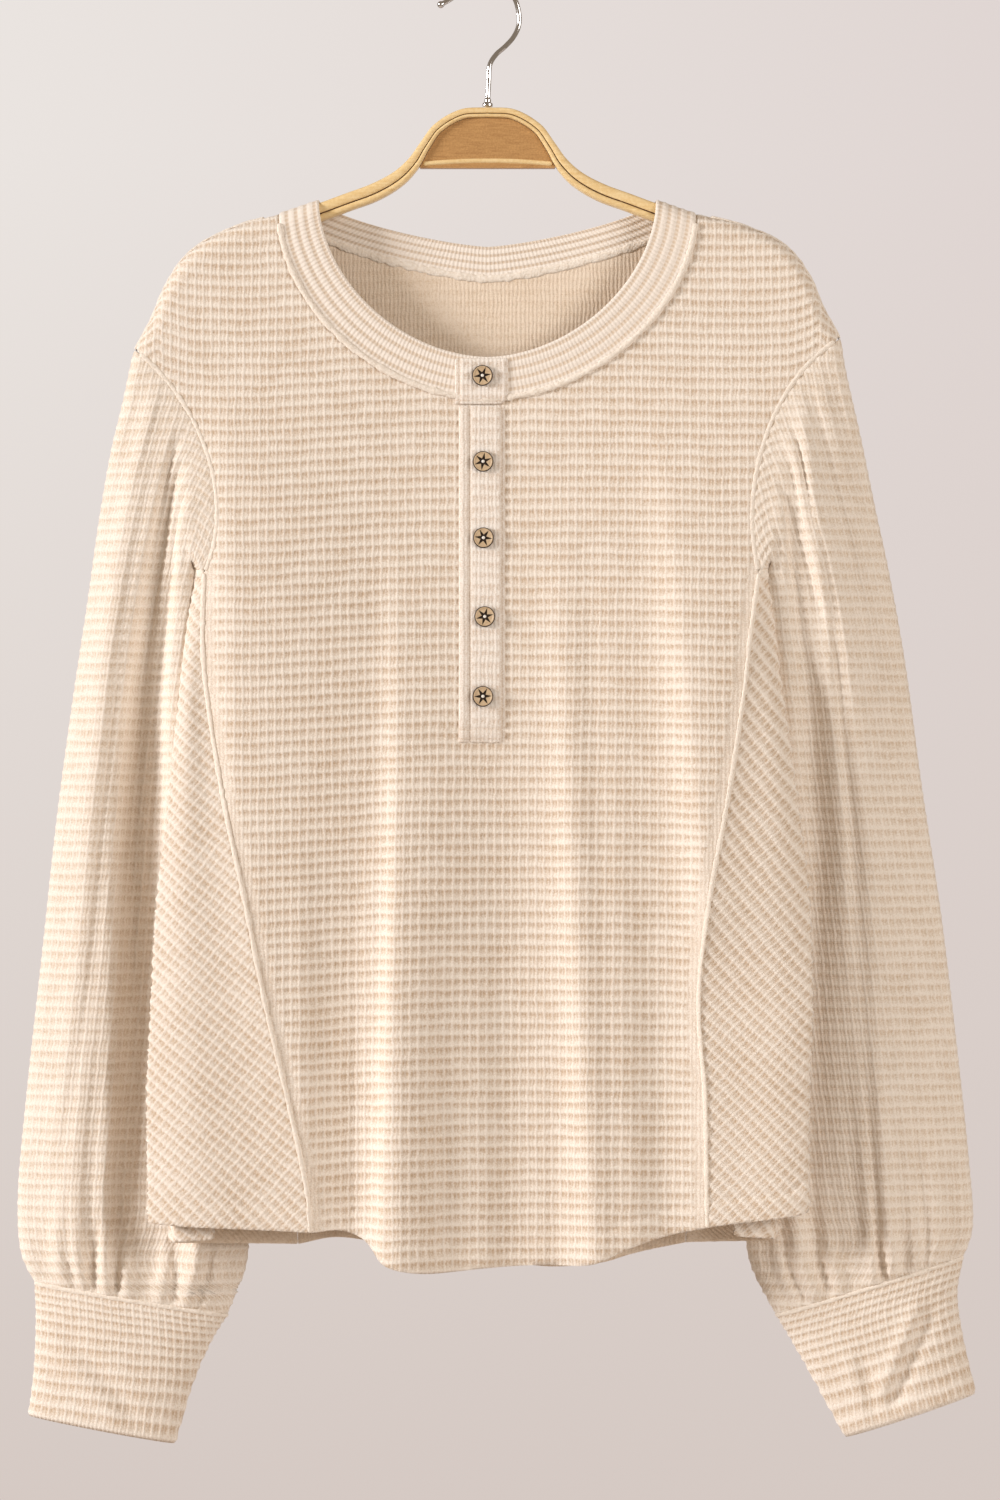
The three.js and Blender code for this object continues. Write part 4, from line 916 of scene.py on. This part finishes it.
# %% Cut and hang the cuffs
cuff_names = "share outer_x outer_z inner_x inner_z centre half"
cuff_rows = {
    "left": [(0, -286.5, -820.4, -165.2, -840.9, 17, 11), (1 / 3, -285.5, -842, -175, -857, 16, 10.5),
             (2 / 3, -286.5, -873, -186, -882, 15, 10), (1, -290, -904, -198, -921.5, 14, 9.5)],
    "right": [(0, 300.9, -804.4, 183.2, -840.9, 17, 11), (1 / 3, 297, -826, 193.5, -858, 16, 11),
              (2 / 3, 300, -852, 206.5, -881, 15, 11), (1, 308.5, -890, 226.5, -917.5, 14, 11)]}
cuff_lengths = {"left": 86, "right": 84}
# One end of the crease, the other end, depth, width
cuff_creases = {
    "left": [((-268, -850), (-222, -902), 1.5, 6)],
    "right": [((280, -836), (254, -898), 3.2, 5), ((236, -862), (246, -905), 1.6, 5)]}


def crease_depth(creases, x, z):
    depth = np.zeros(x.shape)
    for start, end, deep, width in creases:
        line = np.array(end, float) - start
        length = np.linalg.norm(line)
        line = line / length
        along = (x - start[0]) * line[0] + (z - start[1]) * line[1]
        away = (x - start[0]) * line[1] - (z - start[1]) * line[0]
        fade = smoothstep(along, -8, 12) * (1 - smoothstep(along, length - 12, length + 8))
        trough = bell(away / width) - 0.7 * bell((away - 1.8 * width) / width)
        depth = depth + deep * fade * trough
    return depth


def cuff_points(name, shares, angle):
    section = curves(cuff_names, cuff_rows[name])
    share = shares[:, None] + 0 * angle[None]
    place = (1 - np.cos(angle))[None] / 2 + 0 * share
    x = section.outer_x(share) * (1 - place) + section.inner_x(share) * place
    z = section.outer_z(share) * (1 - place) + section.inner_z(share) * place
    facing = np.clip(np.sin(angle), 0, 1)[None]
    y = section.centre(share) - np.sin(angle) * section.half(share)
    return np.stack([x, y + crease_depth(cuff_creases[name], x, z) * facing, z], -1)


def turned_end(mouth, flat):
    away, _ = nearest(flat, mouth, 1)
    return 0.5 * (1 - smoothstep(away, 4, 6)) - 0.8 * (1 - smoothstep(away, 0, 1.6))


def cuff(name, flip):
    shares = np.linspace(0, 1, 61)
    angle, origin, seams = round_tube(0.2, 401)
    down = -shares * cuff_lengths[name]
    place, flat_at = unroll(down, cuff_points(name, shares, angle), origin)
    left, right = [flat_at(seam, down) for seam in seams]
    top, mouth = np.stack([left[0], right[0]]), np.stack([right[-1], left[-1]])
    outline = np.vstack([spaced(line, edge_step) for line in (top, right, mouth, left[::-1])])
    piece = make_up("cuff_on_" + name, outline, place, flip=flip, lift=lambda flat: turned_end(mouth, flat))
    declare(piece, outline, "cuff_" + name)


cuff("left", False)
cuff("right", True)

# %% [markdown]
# ## Wrapped forms
# The neckband, the seam cords, the rail and the hook are long forms with a closed section. `wrap` lays a
# grid over a table of points and welds the edges that meet.

# %% Wrap a grid over points
def wrap(name, points, size, *materials):
    rows, columns = points.shape[0] - 1, points.shape[1] - 1
    bm = bmesh.new()
    uv = bm.loops.layers.uv.new("flat_cloth")
    bmesh.ops.create_grid(bm, x_segments=rows, y_segments=columns, size=0.5)
    for face in bm.faces:
        for loop in face.loops:
            co = loop.vert.co
            loop[uv].uv = ((co.x + 0.5) * size[0] / 1000, (co.y + 0.5) * size[1] / 1000)
    for vert in bm.verts:
        vert.co = points[round((vert.co.x + 0.5) * rows), round((vert.co.y + 0.5) * columns)] / 1000
    bmesh.ops.remove_doubles(bm, verts=bm.verts, dist=2e-6)
    bmesh.ops.recalc_face_normals(bm, faces=bm.faces)
    piece = link(name, mesh_from(bm, name))
    for material in materials:
        piece.data.materials.append(material)
    return piece


def tube(path, out, half_out, half_across, sides=10):
    ahead = np.gradient(path, axis=0)
    across = unit(np.cross(ahead, out))
    turn = np.linspace(0, 2 * math.pi, sides + 1)
    up = np.cos(turn)[None, :, None] * out[:, None] * np.reshape(half_out, (-1, 1, 1))
    side = np.sin(turn)[None, :, None] * across[:, None] * np.reshape(half_across, (-1, 1, 1))
    return path[:, None] + up + side


def round_ends(path, radius):
    length = length_along(path)
    from_end = np.minimum(length, length[-1] - length)
    return np.sqrt(1 - (1 - np.minimum(from_end / radius, 1)) ** 2)


def front_normal(x, z):
    across = front_sheet(x + 1, z) - front_sheet(x - 1, z)
    down = front_sheet(x, z - 1) - front_sheet(x, z + 1)
    normal = unit(np.cross(across, down))
    return normal * np.where(normal[..., 1:2] > 0, -1, 1)


# %% [markdown]
# ## Neckband
# The band is a strip of ribbed knit, 24 mm wide, sewn round the whole neck. Its ribs run along it, on both
# faces.

# %% Neckband
band_width = 24.0
band_rib = 5.4
band_tick = 2.6
band_step = 1.4
oval_count = 400


def rib_material(name, ridge_colour, groove_shade_and_tone_colour):
    m = new_material(name)
    do = partial(maths, m)
    flat = add(m, "SeparateXYZ", Vector=add(m, "UVMap").outputs[0])
    tick = do("COSINE", do("MULTIPLY", flat.outputs[0], 2 * math.pi * 1000 / band_tick))
    rib = do("COSINE", do("MULTIPLY", flat.outputs[1], 2 * math.pi * 1000 / band_rib))
    fluff = noise(m, object_place(m), 900.0, 3.0)
    # Painted shade: the grooves between the ribs are darkened and the cross ticks stripe that shade; the
    # fluff is random tone
    groove = add(m, "MapRange", {"interpolation_type": "SMOOTHSTEP"}, Value=rib, From_Min=0.1, From_Max=-0.9)
    shade = do("MULTIPLY", groove.outputs[0], do("MULTIPLY_ADD", tick, -0.2, 0.6))
    shade = do("MULTIPLY_ADD", do("SUBTRACT", 0.5, fluff), 0.4, shade)
    height = do("MULTIPLY_ADD", tick, 0.35, fluff)
    return finish_material(m, Base_Color=blend(m, shade, ridge_colour, groove_shade_and_tone_colour),
                           Normal=bump(m, 0.6, 0.0005, height), **cotton)


band_knit = rib_material("cotton_rib_knit", "#F5ECE3", "#D5BEA4")


def band_points(share):
    rows = []
    for face, sheet, order in (("front", front_sheet, 1), ("back", back_sheet, -1)):
        both = np.hstack([neck_oval(*oval[face], oval_count) for oval in (neck_edge, neck)])[::order]
        even = spaced(both, band_step)
        x, z = [even[:, k:k + 1] * (1 - share) + even[:, k + 2:k + 3] * share for k in (0, 1)]
        z[0], z[-1] = ridge(x[0]), ridge(x[-1])
        rows.append(sheet(x, z)[:-1])
    return np.concatenate(rows)


neck_edge = {"front": (106, -137, 99, 1.85), "back": (106, -137, 28, 1.35)}
across_band = np.linspace(0, 1, 29)
middle = band_points(across_band)
ahead = np.roll(middle, -1, axis=0) - np.roll(middle, 1, axis=0)
over = np.gradient(middle, axis=1)
band_out = unit(np.cross(ahead, over))
if band_out[len(middle) // 4, 14, 1] > 0:
    band_out = -band_out
rib_wave = 0.5 + 0.5 * np.cos(2 * math.pi * across_band * band_width / band_rib)
thick = 0.85 + 0.4 * rib_wave
thick[[0, -1]] = 0.3
outer = middle + band_out * thick[None, :, None]
inner = middle - band_out * thick[None, :, None]
section = np.concatenate([outer, inner[:, ::-1], outer[:, :1]], axis=1)
section = np.concatenate([section, section[:1]])
ring_length = np.linalg.norm(np.diff(middle[:, 14], axis=0), axis=1).sum()
band = wrap("neckband_knit", section, (ring_length, 2 * band_width), band_knit)
belongs(band, "waffle_knit", "neckband")

# %% [markdown]
# ## Placket and the end of the band
# Both are narrow strips laid over the front. The placket has a fine stitch line near its left edge and a
# stitched box at its foot.

# %% Strips on the front
placket_box = (-18, 10.8, -478.5, -266.6)
band_end_box = (-20.5, 13, -266, -237)
# How much painted shade a stitched groove gets, where 1 is flat cloth without cells
stitch_shade = 3.0
on_panel = 1.1
on_band = 1.5
strip_wall = 0.9
strip_relief = 0.3


def box_outline(box, corner):
    left, right, bottom, top = box
    turns = []
    for x, z, start in ((right, bottom, -90), (right, top, 0), (left, top, 90), (left, bottom, 180)):
        r = corner if (x, z) == (right, bottom) else 1.0
        angle = np.radians(np.linspace(start, start + 90, 7))
        x = x - r * np.sign(x - (left + right) / 2)
        z = z - r * np.sign(z - (bottom + top) / 2)
        turns.append(np.stack([x + r * np.cos(angle), z + r * np.sin(angle)], -1))
    return spaced(np.vstack(turns + [turns[0][:1]]), 0.5)[:-1]


def laid_strip(name, node, box, corner, out, stitch_lines, plain=None):
    outline = box_outline(box, corner)

    def place(x, z):
        return front_sheet(x, z) + front_normal(x, z) * out

    def beside_stitches(flat, width):
        return [bell(nearest(flat, line)[0] / width) for line in stitch_lines]

    def lift(flat):
        height = -0.9 + 1.2 * smoothstep(nearest(flat, closed(outline))[0], 0, 1.6)
        for groove in beside_stitches(flat, 1.1):
            height = height - 0.9 * groove
        return height

    # Flat cloth, plus painted shade in each stitched groove, carried in the plain attribute
    def flat_and_groove_shade(flat):
        bare = 1.0 * plain(flat) if plain else np.zeros(len(flat))
        for groove in beside_stitches(flat, 0.9):
            bare = np.maximum(bare, stitch_shade * groove)
        return bare

    piece = make_up(name, outline, place, plain=flat_and_groove_shade, cell_steps=(6, 6), depth=strip_relief,
                    wall=strip_wall, lift=lift, face=placket_knit)
    declare(piece, outline, node)


placket_knit = knit_material("cotton_placket_knit", "#F7F0E9", "#CDB59C", 0.55, 0.3)
left, right, bottom, top = placket_box
laid_strip("placket_strip", "placket", placket_box, 1.0, on_panel + strip_wall, [
    [(left + 6.9, top), (left + 6.9, bottom)], [(right - 1.6, top), (right - 1.6, bottom)],
    [(left, bottom + 2.5), (right, bottom + 2.5)], [(left, bottom + 8.8), (right, bottom + 8.8)]],
    plain=lambda flat: (flat[:, 0] < left + 6.9) | (flat[:, 1] < bottom + 8.8))
left, right, bottom, top = band_end_box
laid_strip("band_end_strip", "neckband_end", band_end_box, 7.0, on_band + strip_wall, [
    [(left + 2.5, top), (left + 2.5, bottom)], [(left, bottom + 2.5), (right - 5, bottom + 2.5)]])

# %% [markdown]
# ## Seam cords
# The seams of this shirt are left raw, so each shows as a pale cord with a rough edge. The cords are thin
# uneven tubes along the seams.

# %% Raw seam thread and cords
raw_thread = cloudy_material("raw_cotton_thread", "#FFFAF4", "#E4D4C1", 700.0, 0.9, 0.0008,
                             Roughness=0.95, Sheen_Weight=0.3, Specular_IOR_Level=0.1)
chance = np.random.default_rng(7)
cord_step = 0.8


def uneven(count, wave, amount):
    rough = chance.normal(0, 1, count + 2 * wave)
    kernel = np.hanning(2 * wave + 1)
    return 1 + amount * np.convolve(rough, kernel / np.linalg.norm(kernel), "valid")[:count]


def cord(name, path, out, across, height):
    n = len(path)
    ends = round_ends(path, 1.5)
    shape = tube(path, out, height * ends * np.clip(uneven(n, 4, 0.12), 0.6, 1.4),
                 across * ends * np.clip(uneven(n, 4, 0.12), 0.6, 1.4))
    belongs(wrap(name, shape, (n, 2 * math.pi * across), raw_thread), "waffle_knit")


def on_front(line, out):
    x, z = spaced(line, cord_step).T
    normal = front_normal(x, z)
    return front_sheet(x, z) + normal * out, normal


def square_to(path, other, toward):
    normal = unit(np.cross(np.gradient(path, axis=0), other))
    return normal * (1 if np.mean(normal @ np.array(toward, float)) >= 0 else -1)


path, out = on_front(neck_oval(*neck["front"])[2:-2], 1.1)
cord("front_neck_seam", path, out, 2.0, 1.25)
path = back_sheet(*spaced(neck_oval(*neck["back"])[2:-2], cord_step).T) + [0, -1.0, 0]
cord("back_neck_seam", path, np.tile([0.0, -1, 0], (len(path), 1)), 2.6, 0.9)
for name, side in (("left", -1), ("right", 1)):
    path, out = on_front(side_line(name, "seam", 0), 0.3)
    cord("side_seam_" + name, path, out, 1.5, 0.8)
    hole = bezier(armhole_points[name], np.linspace(0.03, 0.99, 60))
    path, out = on_front(hole, 0.1)
    cord("armhole_seam_" + name, path, out, 1.4, 0.65)
    x, z = spaced(shoulder_line(side)[:-4], cord_step).T
    path = (front_sheet(x, z) + back_sheet(x, z)) / 2 + [0, 0, 0.3]
    cord("shoulder_seam_" + name, path, square_to(path, [0.0, 1, 0], [0, 0, 1]), 2.2, 0.9)
    path = through(gore_section(name, np.array([float(underarm_z)])), np.linspace(0, 10, 60))[0]
    cord("underarm_seam_" + name, path, square_to(path, [0.0, 0, 1], [side, 0, 0]), 3.4, 1.3)
    angle = np.linspace(0, 2 * math.pi, 260)
    ring = cuff_points(name, np.array([0.0, 0.02]), angle)
    away = square_to(ring[0], ring[1] - ring[0], [0, 0, 0])
    away = away * (1 if away[65, 1] < 0 else -1)
    cord("cuff_seam_" + name, ring[0], away, 1.5, 0.9)

# %% [markdown]
# ## Buttons
# Each button is a turned disc with a star carved into its face and stained dark, and a bright dot at the
# middle.

# %% Materials of the button
shell = {"scale": 420.0, "strength": 0.3, "distance": 0.0002}
button_face = cloudy_material("carved_brown_shell", "#E2CDAE", "#B3946F", **shell, Roughness=0.42)
button_stain = cloudy_material("dark_stain", "#34200F", "#1D1007", **shell, Roughness=0.8)
button_dot = cloudy_material("white_pearl", "#FFFDF8", "#E9E2D8", **shell, Roughness=0.25)

# %% Turn and carve one button
button_thickness = 2.4
thread_length = 0.45
button_profile = [
    (0, -1.2), (5.6, -1.2), (6.2, -0.8), (6.5, 0), (6.35, 0.75), (5.9, 1.15), (5.35, 1.2), (5.0, 0.95),
    (4.6, 0.85), (0, 0.75)]
star = {"points": 6, "tip": 5.7, "notch": 2.0, "deep": 0.95}
rim_radius = 5.7


def turned_disc():
    bm = bmesh.new()
    verts = [bm.verts.new((r, 0, y)) for r, y in button_profile]
    edges = [bm.edges.new(pair) for pair in zip(verts, verts[1:])]
    bmesh.ops.spin(bm, geom=verts + edges, cent=(0, 0, 0), axis=(0, 0, 1), angle=2 * math.pi, steps=64,
                   use_merge=True)
    bmesh.ops.remove_doubles(bm, verts=bm.verts, dist=1e-5)
    bmesh.ops.recalc_face_normals(bm, faces=bm.faces)
    return mesh_from(bm, "button_body", smooth=False)


def star_cutter():
    bm = bmesh.new()
    count = 2 * star["points"]
    bmesh.ops.create_circle(bm, cap_ends=True, segments=count, radius=1)
    for vert in list(bm.verts):
        k = round(math.atan2(vert.co.y, vert.co.x) / (2 * math.pi / count))
        radius = star["tip"] if k % 2 == 0 else star["notch"]
        vert.co = (vert.co.x * radius, vert.co.y * radius, button_thickness / 2 - star["deep"])
    face = bm.faces[:]
    grown = bmesh.ops.extrude_face_region(bm, geom=face)["geom"]
    bmesh.ops.translate(bm, verts=[g for g in grown if isinstance(g, bmesh.types.BMVert)], vec=(0, 0, 2))
    bmesh.ops.recalc_face_normals(bm, faces=bm.faces)
    return mesh_from(bm, "star_cutter", smooth=False)


def carve():
    body, cutter = link("button_body", turned_disc()), link("star_cutter", star_cutter())
    body.data.materials.append(button_face)
    cutter.data.materials.append(button_stain)
    cut = body.modifiers.new("star", "BOOLEAN")
    cut.operation = "DIFFERENCE"
    cut.solver = "EXACT"
    cut.material_mode = "TRANSFER"
    cut.object = cutter
    ready = bpy.data.meshes.new_from_object(body.evaluated_get(bpy.context.evaluated_depsgraph_get()))
    for scrap in (body, cutter):
        bpy.data.objects.remove(scrap)
    bm = bmesh.new()
    bm.from_mesh(ready)
    slots = list(ready.materials) + [button_dot]
    # The faces outside rim_radius take the dark stain material as well, so the button has a dark ring round
    # its edge
    for face in bm.faces:
        if face.calc_center_median().xy.length > rim_radius:
            face.material_index = 1
    dot = bmesh.ops.create_uvsphere(bm, u_segments=20, v_segments=12, radius=1.0)["verts"]
    for vert in dot:
        vert.co = (vert.co.x, vert.co.y, vert.co.z * 0.6 + 0.75)
    for face in {face for vert in dot for face in vert.link_faces}:
        face.material_index = len(slots) - 1
        face.smooth = True
    mesh = mesh_from(bm, "button", smooth=False)
    for slot in slots:
        mesh.materials.append(slot)
    print("button", len(mesh.polygons), "faces, materials", [s.name for s in slots])
    return mesh


# x, z, turn in degrees
button_rows = [(-3.1, -248, 8), (-2.7, -302, 20), (-2.5, -350, -6), (-1.8, -399.5, 14), (-3.1, -449.5, 2)]
one_button = carve()
for i, (x, z, turn) in enumerate(button_rows):
    mesh = one_button.copy()
    spot = np.float64(x), np.float64(z)
    normal = front_normal(*spot)
    carrier = on_band if i == 0 else on_panel
    out = carrier + strip_wall + strip_relief + thread_length + button_thickness / 2
    place = front_sheet(*spot) + normal * out
    facing = Vector(normal).to_track_quat("Z", "Z" if abs(normal[2]) > 0.9 else "Y").to_matrix().to_4x4()
    facing = facing @ Matrix.Rotation(math.radians(turn), 4, "Z")
    mesh.transform(Matrix.Translation(Vector(place / 1000)) @ facing @ Matrix.Scale(0.001, 4))
    piece = link(f"shell_button_{i + 1}", mesh)
    belongs(piece, "button", f"button_{i + 1}")

# %% [markdown]
# ## Hanger
# The rail is bent from two glued strips of wood, so its face shows a light strip, a dark glue line and a
# bead. It is one section swept along the arch and the arms. The panel fills the arch, set back from the
# rail.

# %% Wood and wire
def wood_material(name, light, dark, roughness, speckle):
    m = new_material(name)
    place = object_place(m)
    long_grain = add(m, "Mapping", Vector=place, Scale=(90.0, 600.0, 900.0)).outputs[0]
    grain, dots = noise(m, long_grain, 1.0, 5.0, Distortion=0.4), noise(m, place, speckle, 2.0)
    mixed = maths(m, "MULTIPLY_ADD", dots, 0.5, maths(m, "MULTIPLY", grain, 0.6))
    shade = add(m, "MapRange", Value=mixed, From_Min=0.4, From_Max=0.75).outputs[0]
    return finish_material(m, Base_Color=blend(m, shade, light, dark), Roughness=roughness,
                           Normal=bump(m, 0.15, 0.0003, grain), Coat_Weight=0.4, Coat_Roughness=0.25)


rail_wood = wood_material("varnished_pale_maple", "#F8DEAB", "#E6C386", 0.42, 500.0)
glue_line = wood_material("dark_glue_line", "#7A5230", "#5C3A20", 0.6, 500.0)
panel_wood = wood_material("tan_beech_panel", "#C99B62", "#A97B48", 0.55, 900.0)
chrome_wire = finish_material(new_material("polished_chrome_wire"), Base_Color=linear("#D6D6D9"),
                              Metallic=1.0, Roughness=0.12)

# %% Rail
rail = curves("x top height", [
    (0, -78.3, 6.5), (17.5, -79.8, 6.5), (34, -89.5, 6.5), (43, -101.5, 7), (49.5, -110.5, 8.5),
    (59, -119, 10), (73, -126.5, 11), (90, -132.8, 11), (106, -138.7, 11), (131, -147.2, 11),
    (152, -152.7, 11), (166, -158.2, 11), (180, -165.7, 11), (193, -177.2, 11)])
rail_end = 182
rail_half_depth = 6.0


def rail_frames(spread):
    x = np.abs(spread)
    slope = np.sign(spread) * (rail.top(x + 0.5) - rail.top(np.maximum(x - 0.5, 0)))
    down = np.stack([slope, np.full(len(x), -1.0)], -1)
    return np.stack([spread, rail.top(x)], -1), down / np.linalg.norm(down, axis=1)[:, None], rail.height(x)


# Share of the height from the top, and depth as a share of the half depth, round the section from the top
rail_section = np.array([
    (0.0, 0.0), (0.0, -0.55), (0.03, -0.8), (0.1, -0.95), (0.25, -1.0), (0.42, -0.99), (0.54, -0.94),
    (0.575, -0.86), (0.595, -0.72), (0.625, -0.72), (0.645, -0.86), (0.7, -0.95), (0.8, -0.98),
    (0.9, -0.93), (0.96, -0.8), (1.0, -0.5), (1.0, 0.0), (1.0, 0.5), (0.94, 0.85), (0.8, 1.0), (0.5, 1.0),
    (0.2, 1.0), (0.06, 0.85), (0.0, 0.5), (0.0, 0.0)])
glue_faces = (7, 8, 9)

even = np.linspace(-1, 1, 301)
spread = rail_end * np.sign(even) * np.abs(even) ** 1.15
top_line, down, height = rail_frames(spread)
taper = 1 - 0.3 * smoothstep(np.abs(spread), 150, rail_end)
closing = np.sqrt(1 - (1 - np.minimum((rail_end - np.abs(spread)) / 3 + 0.02, 1)) ** 2)
tall = (0.5 + (rail_section[:, 0] - 0.5)[None] * (taper * closing)[:, None]) * height[:, None]
deep = rail_section[:, 1][None] * (rail_half_depth * taper * closing)[:, None]
rail_points = np.stack([
    top_line[:, :1] + down[:, :1] * tall, deep, top_line[:, 1:] + down[:, 1:] * tall], -1)
rail_piece = wrap("hanger_rail_wood", rail_points, (2 * rail_end, 40), rail_wood, glue_line)
rail_uv = rail_piece.data.uv_layers[0].data
for face in rail_piece.data.polygons:
    corners = [rail_uv[k].uv[1] for k in face.loop_indices]
    middle_v = sum(corners) / len(corners)
    face.material_index = int(int(middle_v * 1000 / 40 * (len(rail_section) - 1)) in glue_faces)
belongs(rail_piece, "hanger_wood", "hanger_rail")

# %% Panel and its lip
panel_bottom = -116.6
panel_half_depth = 3.4
under = top_line + down * (height + 0.3)[:, None]
arch = under[under[:, 1] > panel_bottom]
outline = np.vstack([arch, [(arch[-1, 0], panel_bottom), (arch[0, 0], panel_bottom)]])
bm = bmesh.new()
slab = bm.faces.new([bm.verts.new((x / 1000, -panel_half_depth / 1000, z / 1000)) for x, z in outline])
grown = bmesh.ops.extrude_face_region(bm, geom=[slab])["geom"]
back_face = [g for g in grown if isinstance(g, bmesh.types.BMVert)]
bmesh.ops.translate(bm, verts=back_face, vec=(0, 2 * panel_half_depth / 1000, 0))
bmesh.ops.recalc_face_normals(bm, faces=bm.faces)
panel = link("hanger_panel_wood", mesh_from(bm, "hanger_panel_wood", smooth=False))
panel.data.materials.append(panel_wood)
belongs(panel, "hanger_wood", "hanger_panel")
across = np.linspace(arch[0, 0] + 1, arch[-1, 0] - 1, 90)
lip_path = np.stack([across, 0 * across, panel_bottom + 2.4 + 0 * across], -1)
lip_path[:, 2] += 2.2 * (1 - (across / arch[-1, 0]) ** 2)
ends = round_ends(lip_path, 2)
lip_points = tube(lip_path, np.tile([0.0, -1, 0], (90, 1)), 4.4 * ends, 2.3 * ends, 16)
belongs(wrap("hanger_lip_wood", lip_points, (100, 20), rail_wood), "hanger_wood")

# %% Hook
ball_radius = 2.3
hook_points = np.array([
    (0, -78), (0.3, -70), (0.8, -61), (1.4, -51.5), (5.2, -45), (11, -39.8), (16.2, -34), (19.5, -27),
    (19.8, -19), (16.8, -9), (9.6, -1.2), (0, 1.6), (-10, -0.9), (-17.5, -6), (-24.5, -10.6),
    (-31.5, -14.4)])
stops = np.linspace(0, len(hook_points) - 1, 600)
hook_line = through([p[None] for p in hook_points], stops)[0]
hook_line = spaced(hook_line, 0.5)
hook_path = np.stack([hook_line[:, 0], 0 * hook_line[:, 0], hook_line[:, 1]], -1)
run = 0.5 * np.arange(len(hook_path))
wire = 1.6 + 1.2 * (1 - smoothstep(run, 2.4, 2.9)) + 0.5 * (1 - smoothstep(run, 5.2, 5.7))
left_to_go = run[-1] - run
ball = np.sqrt(np.maximum(ball_radius ** 2 - (left_to_go - ball_radius) ** 2, 0))
wire = np.maximum(wire * (left_to_go > ball_radius), ball)
wire[0] = 0.01
hook = wrap("hook_chrome_wire", tube(hook_path, np.tile([0.0, -1, 0], (len(run), 1)), wire, wire, 20),
            (run[-1], 10), chrome_wire)
belongs(hook, "hook_wire", "hanger_hook")

# %% [markdown]
# ## Backdrop, floor and lights
# The backdrop glows softly, as a lit studio wall does, and stands far behind; its glow is painted light,
# brighter at the upper left and darker toward the floor. The key light is a wide panel at the upper left,
# so each fold has a lit side and a shaded side, and the world fills in from all round.

# %% Backdrop and floor
def backdrop_material():
    m = new_material("studio_wall_painted_glow")
    place = add(m, "SeparateXYZ", Vector=object_place(m))
    height = add(m, "MapRange", Value=place.outputs[2], From_Min=-1.9, From_Max=0.6).outputs[0]
    side = add(m, "MapRange", Value=place.outputs[0], From_Min=-0.9, From_Max=0.9).outputs[0]
    # Painted light: the glow is brighter at the upper left, where the key light is, and darker toward the
    # floor
    colour = blend(m, height, "#D5C9C3", blend(m, side, "#EAE4E0", "#E0D6D3"))
    return finish_material(m, Base_Color=(0, 0, 0, 1), Roughness=1.0, Specular_IOR_Level=0.0,
                           Emission_Color=colour, Emission_Strength=1.0)


def flat_plane(name, corners, material):
    bm = bmesh.new()
    bm.faces.new([bm.verts.new(corner) for corner in corners])
    piece = link(name, mesh_from(bm, name, smooth=False))
    piece.data.materials.append(material)


flat_plane("backdrop", [(-5, 6, -4), (5, 6, -4), (5, 6, 4), (-5, 6, 4)], backdrop_material())
floor_paint = finish_material(new_material("floor_paint"), Base_Color=linear("#DDD3CC"), Roughness=0.8)
floor_corners = [(-1.6, -1.6, -1.45), (1.6, -1.6, -1.45), (1.6, 1.6, -1.45), (-1.6, 1.6, -1.45)]
flat_plane("floor", floor_corners, floor_paint)

# %% Lights and world
def area_light(name, place, size, power, colour):
    lamp = bpy.data.lights.new(name, "AREA")
    lamp.shape = "SQUARE"
    lamp.size = size
    lamp.energy = power
    lamp.color = linear(colour)[:3]
    light = bpy.data.objects.new(name, lamp)
    bpy.context.scene.collection.objects.link(light)
    light.location = place
    light.rotation_euler = (Vector((0, 0, -0.45)) - Vector(place)).to_track_quat("-Z", "Y").to_euler()


area_light("key", (-5.8, -2.15, 0.9), 1.5, 405, "#FFFCFA")
area_light("fill", (3.2, -2.8, 0.5), 2.0, 90, "#FFFAF5")
world = bpy.data.worlds.new("studio_air")
world.use_nodes = True
world.node_tree.nodes["Background"].inputs["Color"].default_value = linear("#FFE6C9")
world.node_tree.nodes["Background"].inputs["Strength"].default_value = 0.3
bpy.context.scene.world = world
bpy.context.scene.view_settings.view_transform = "Standard"
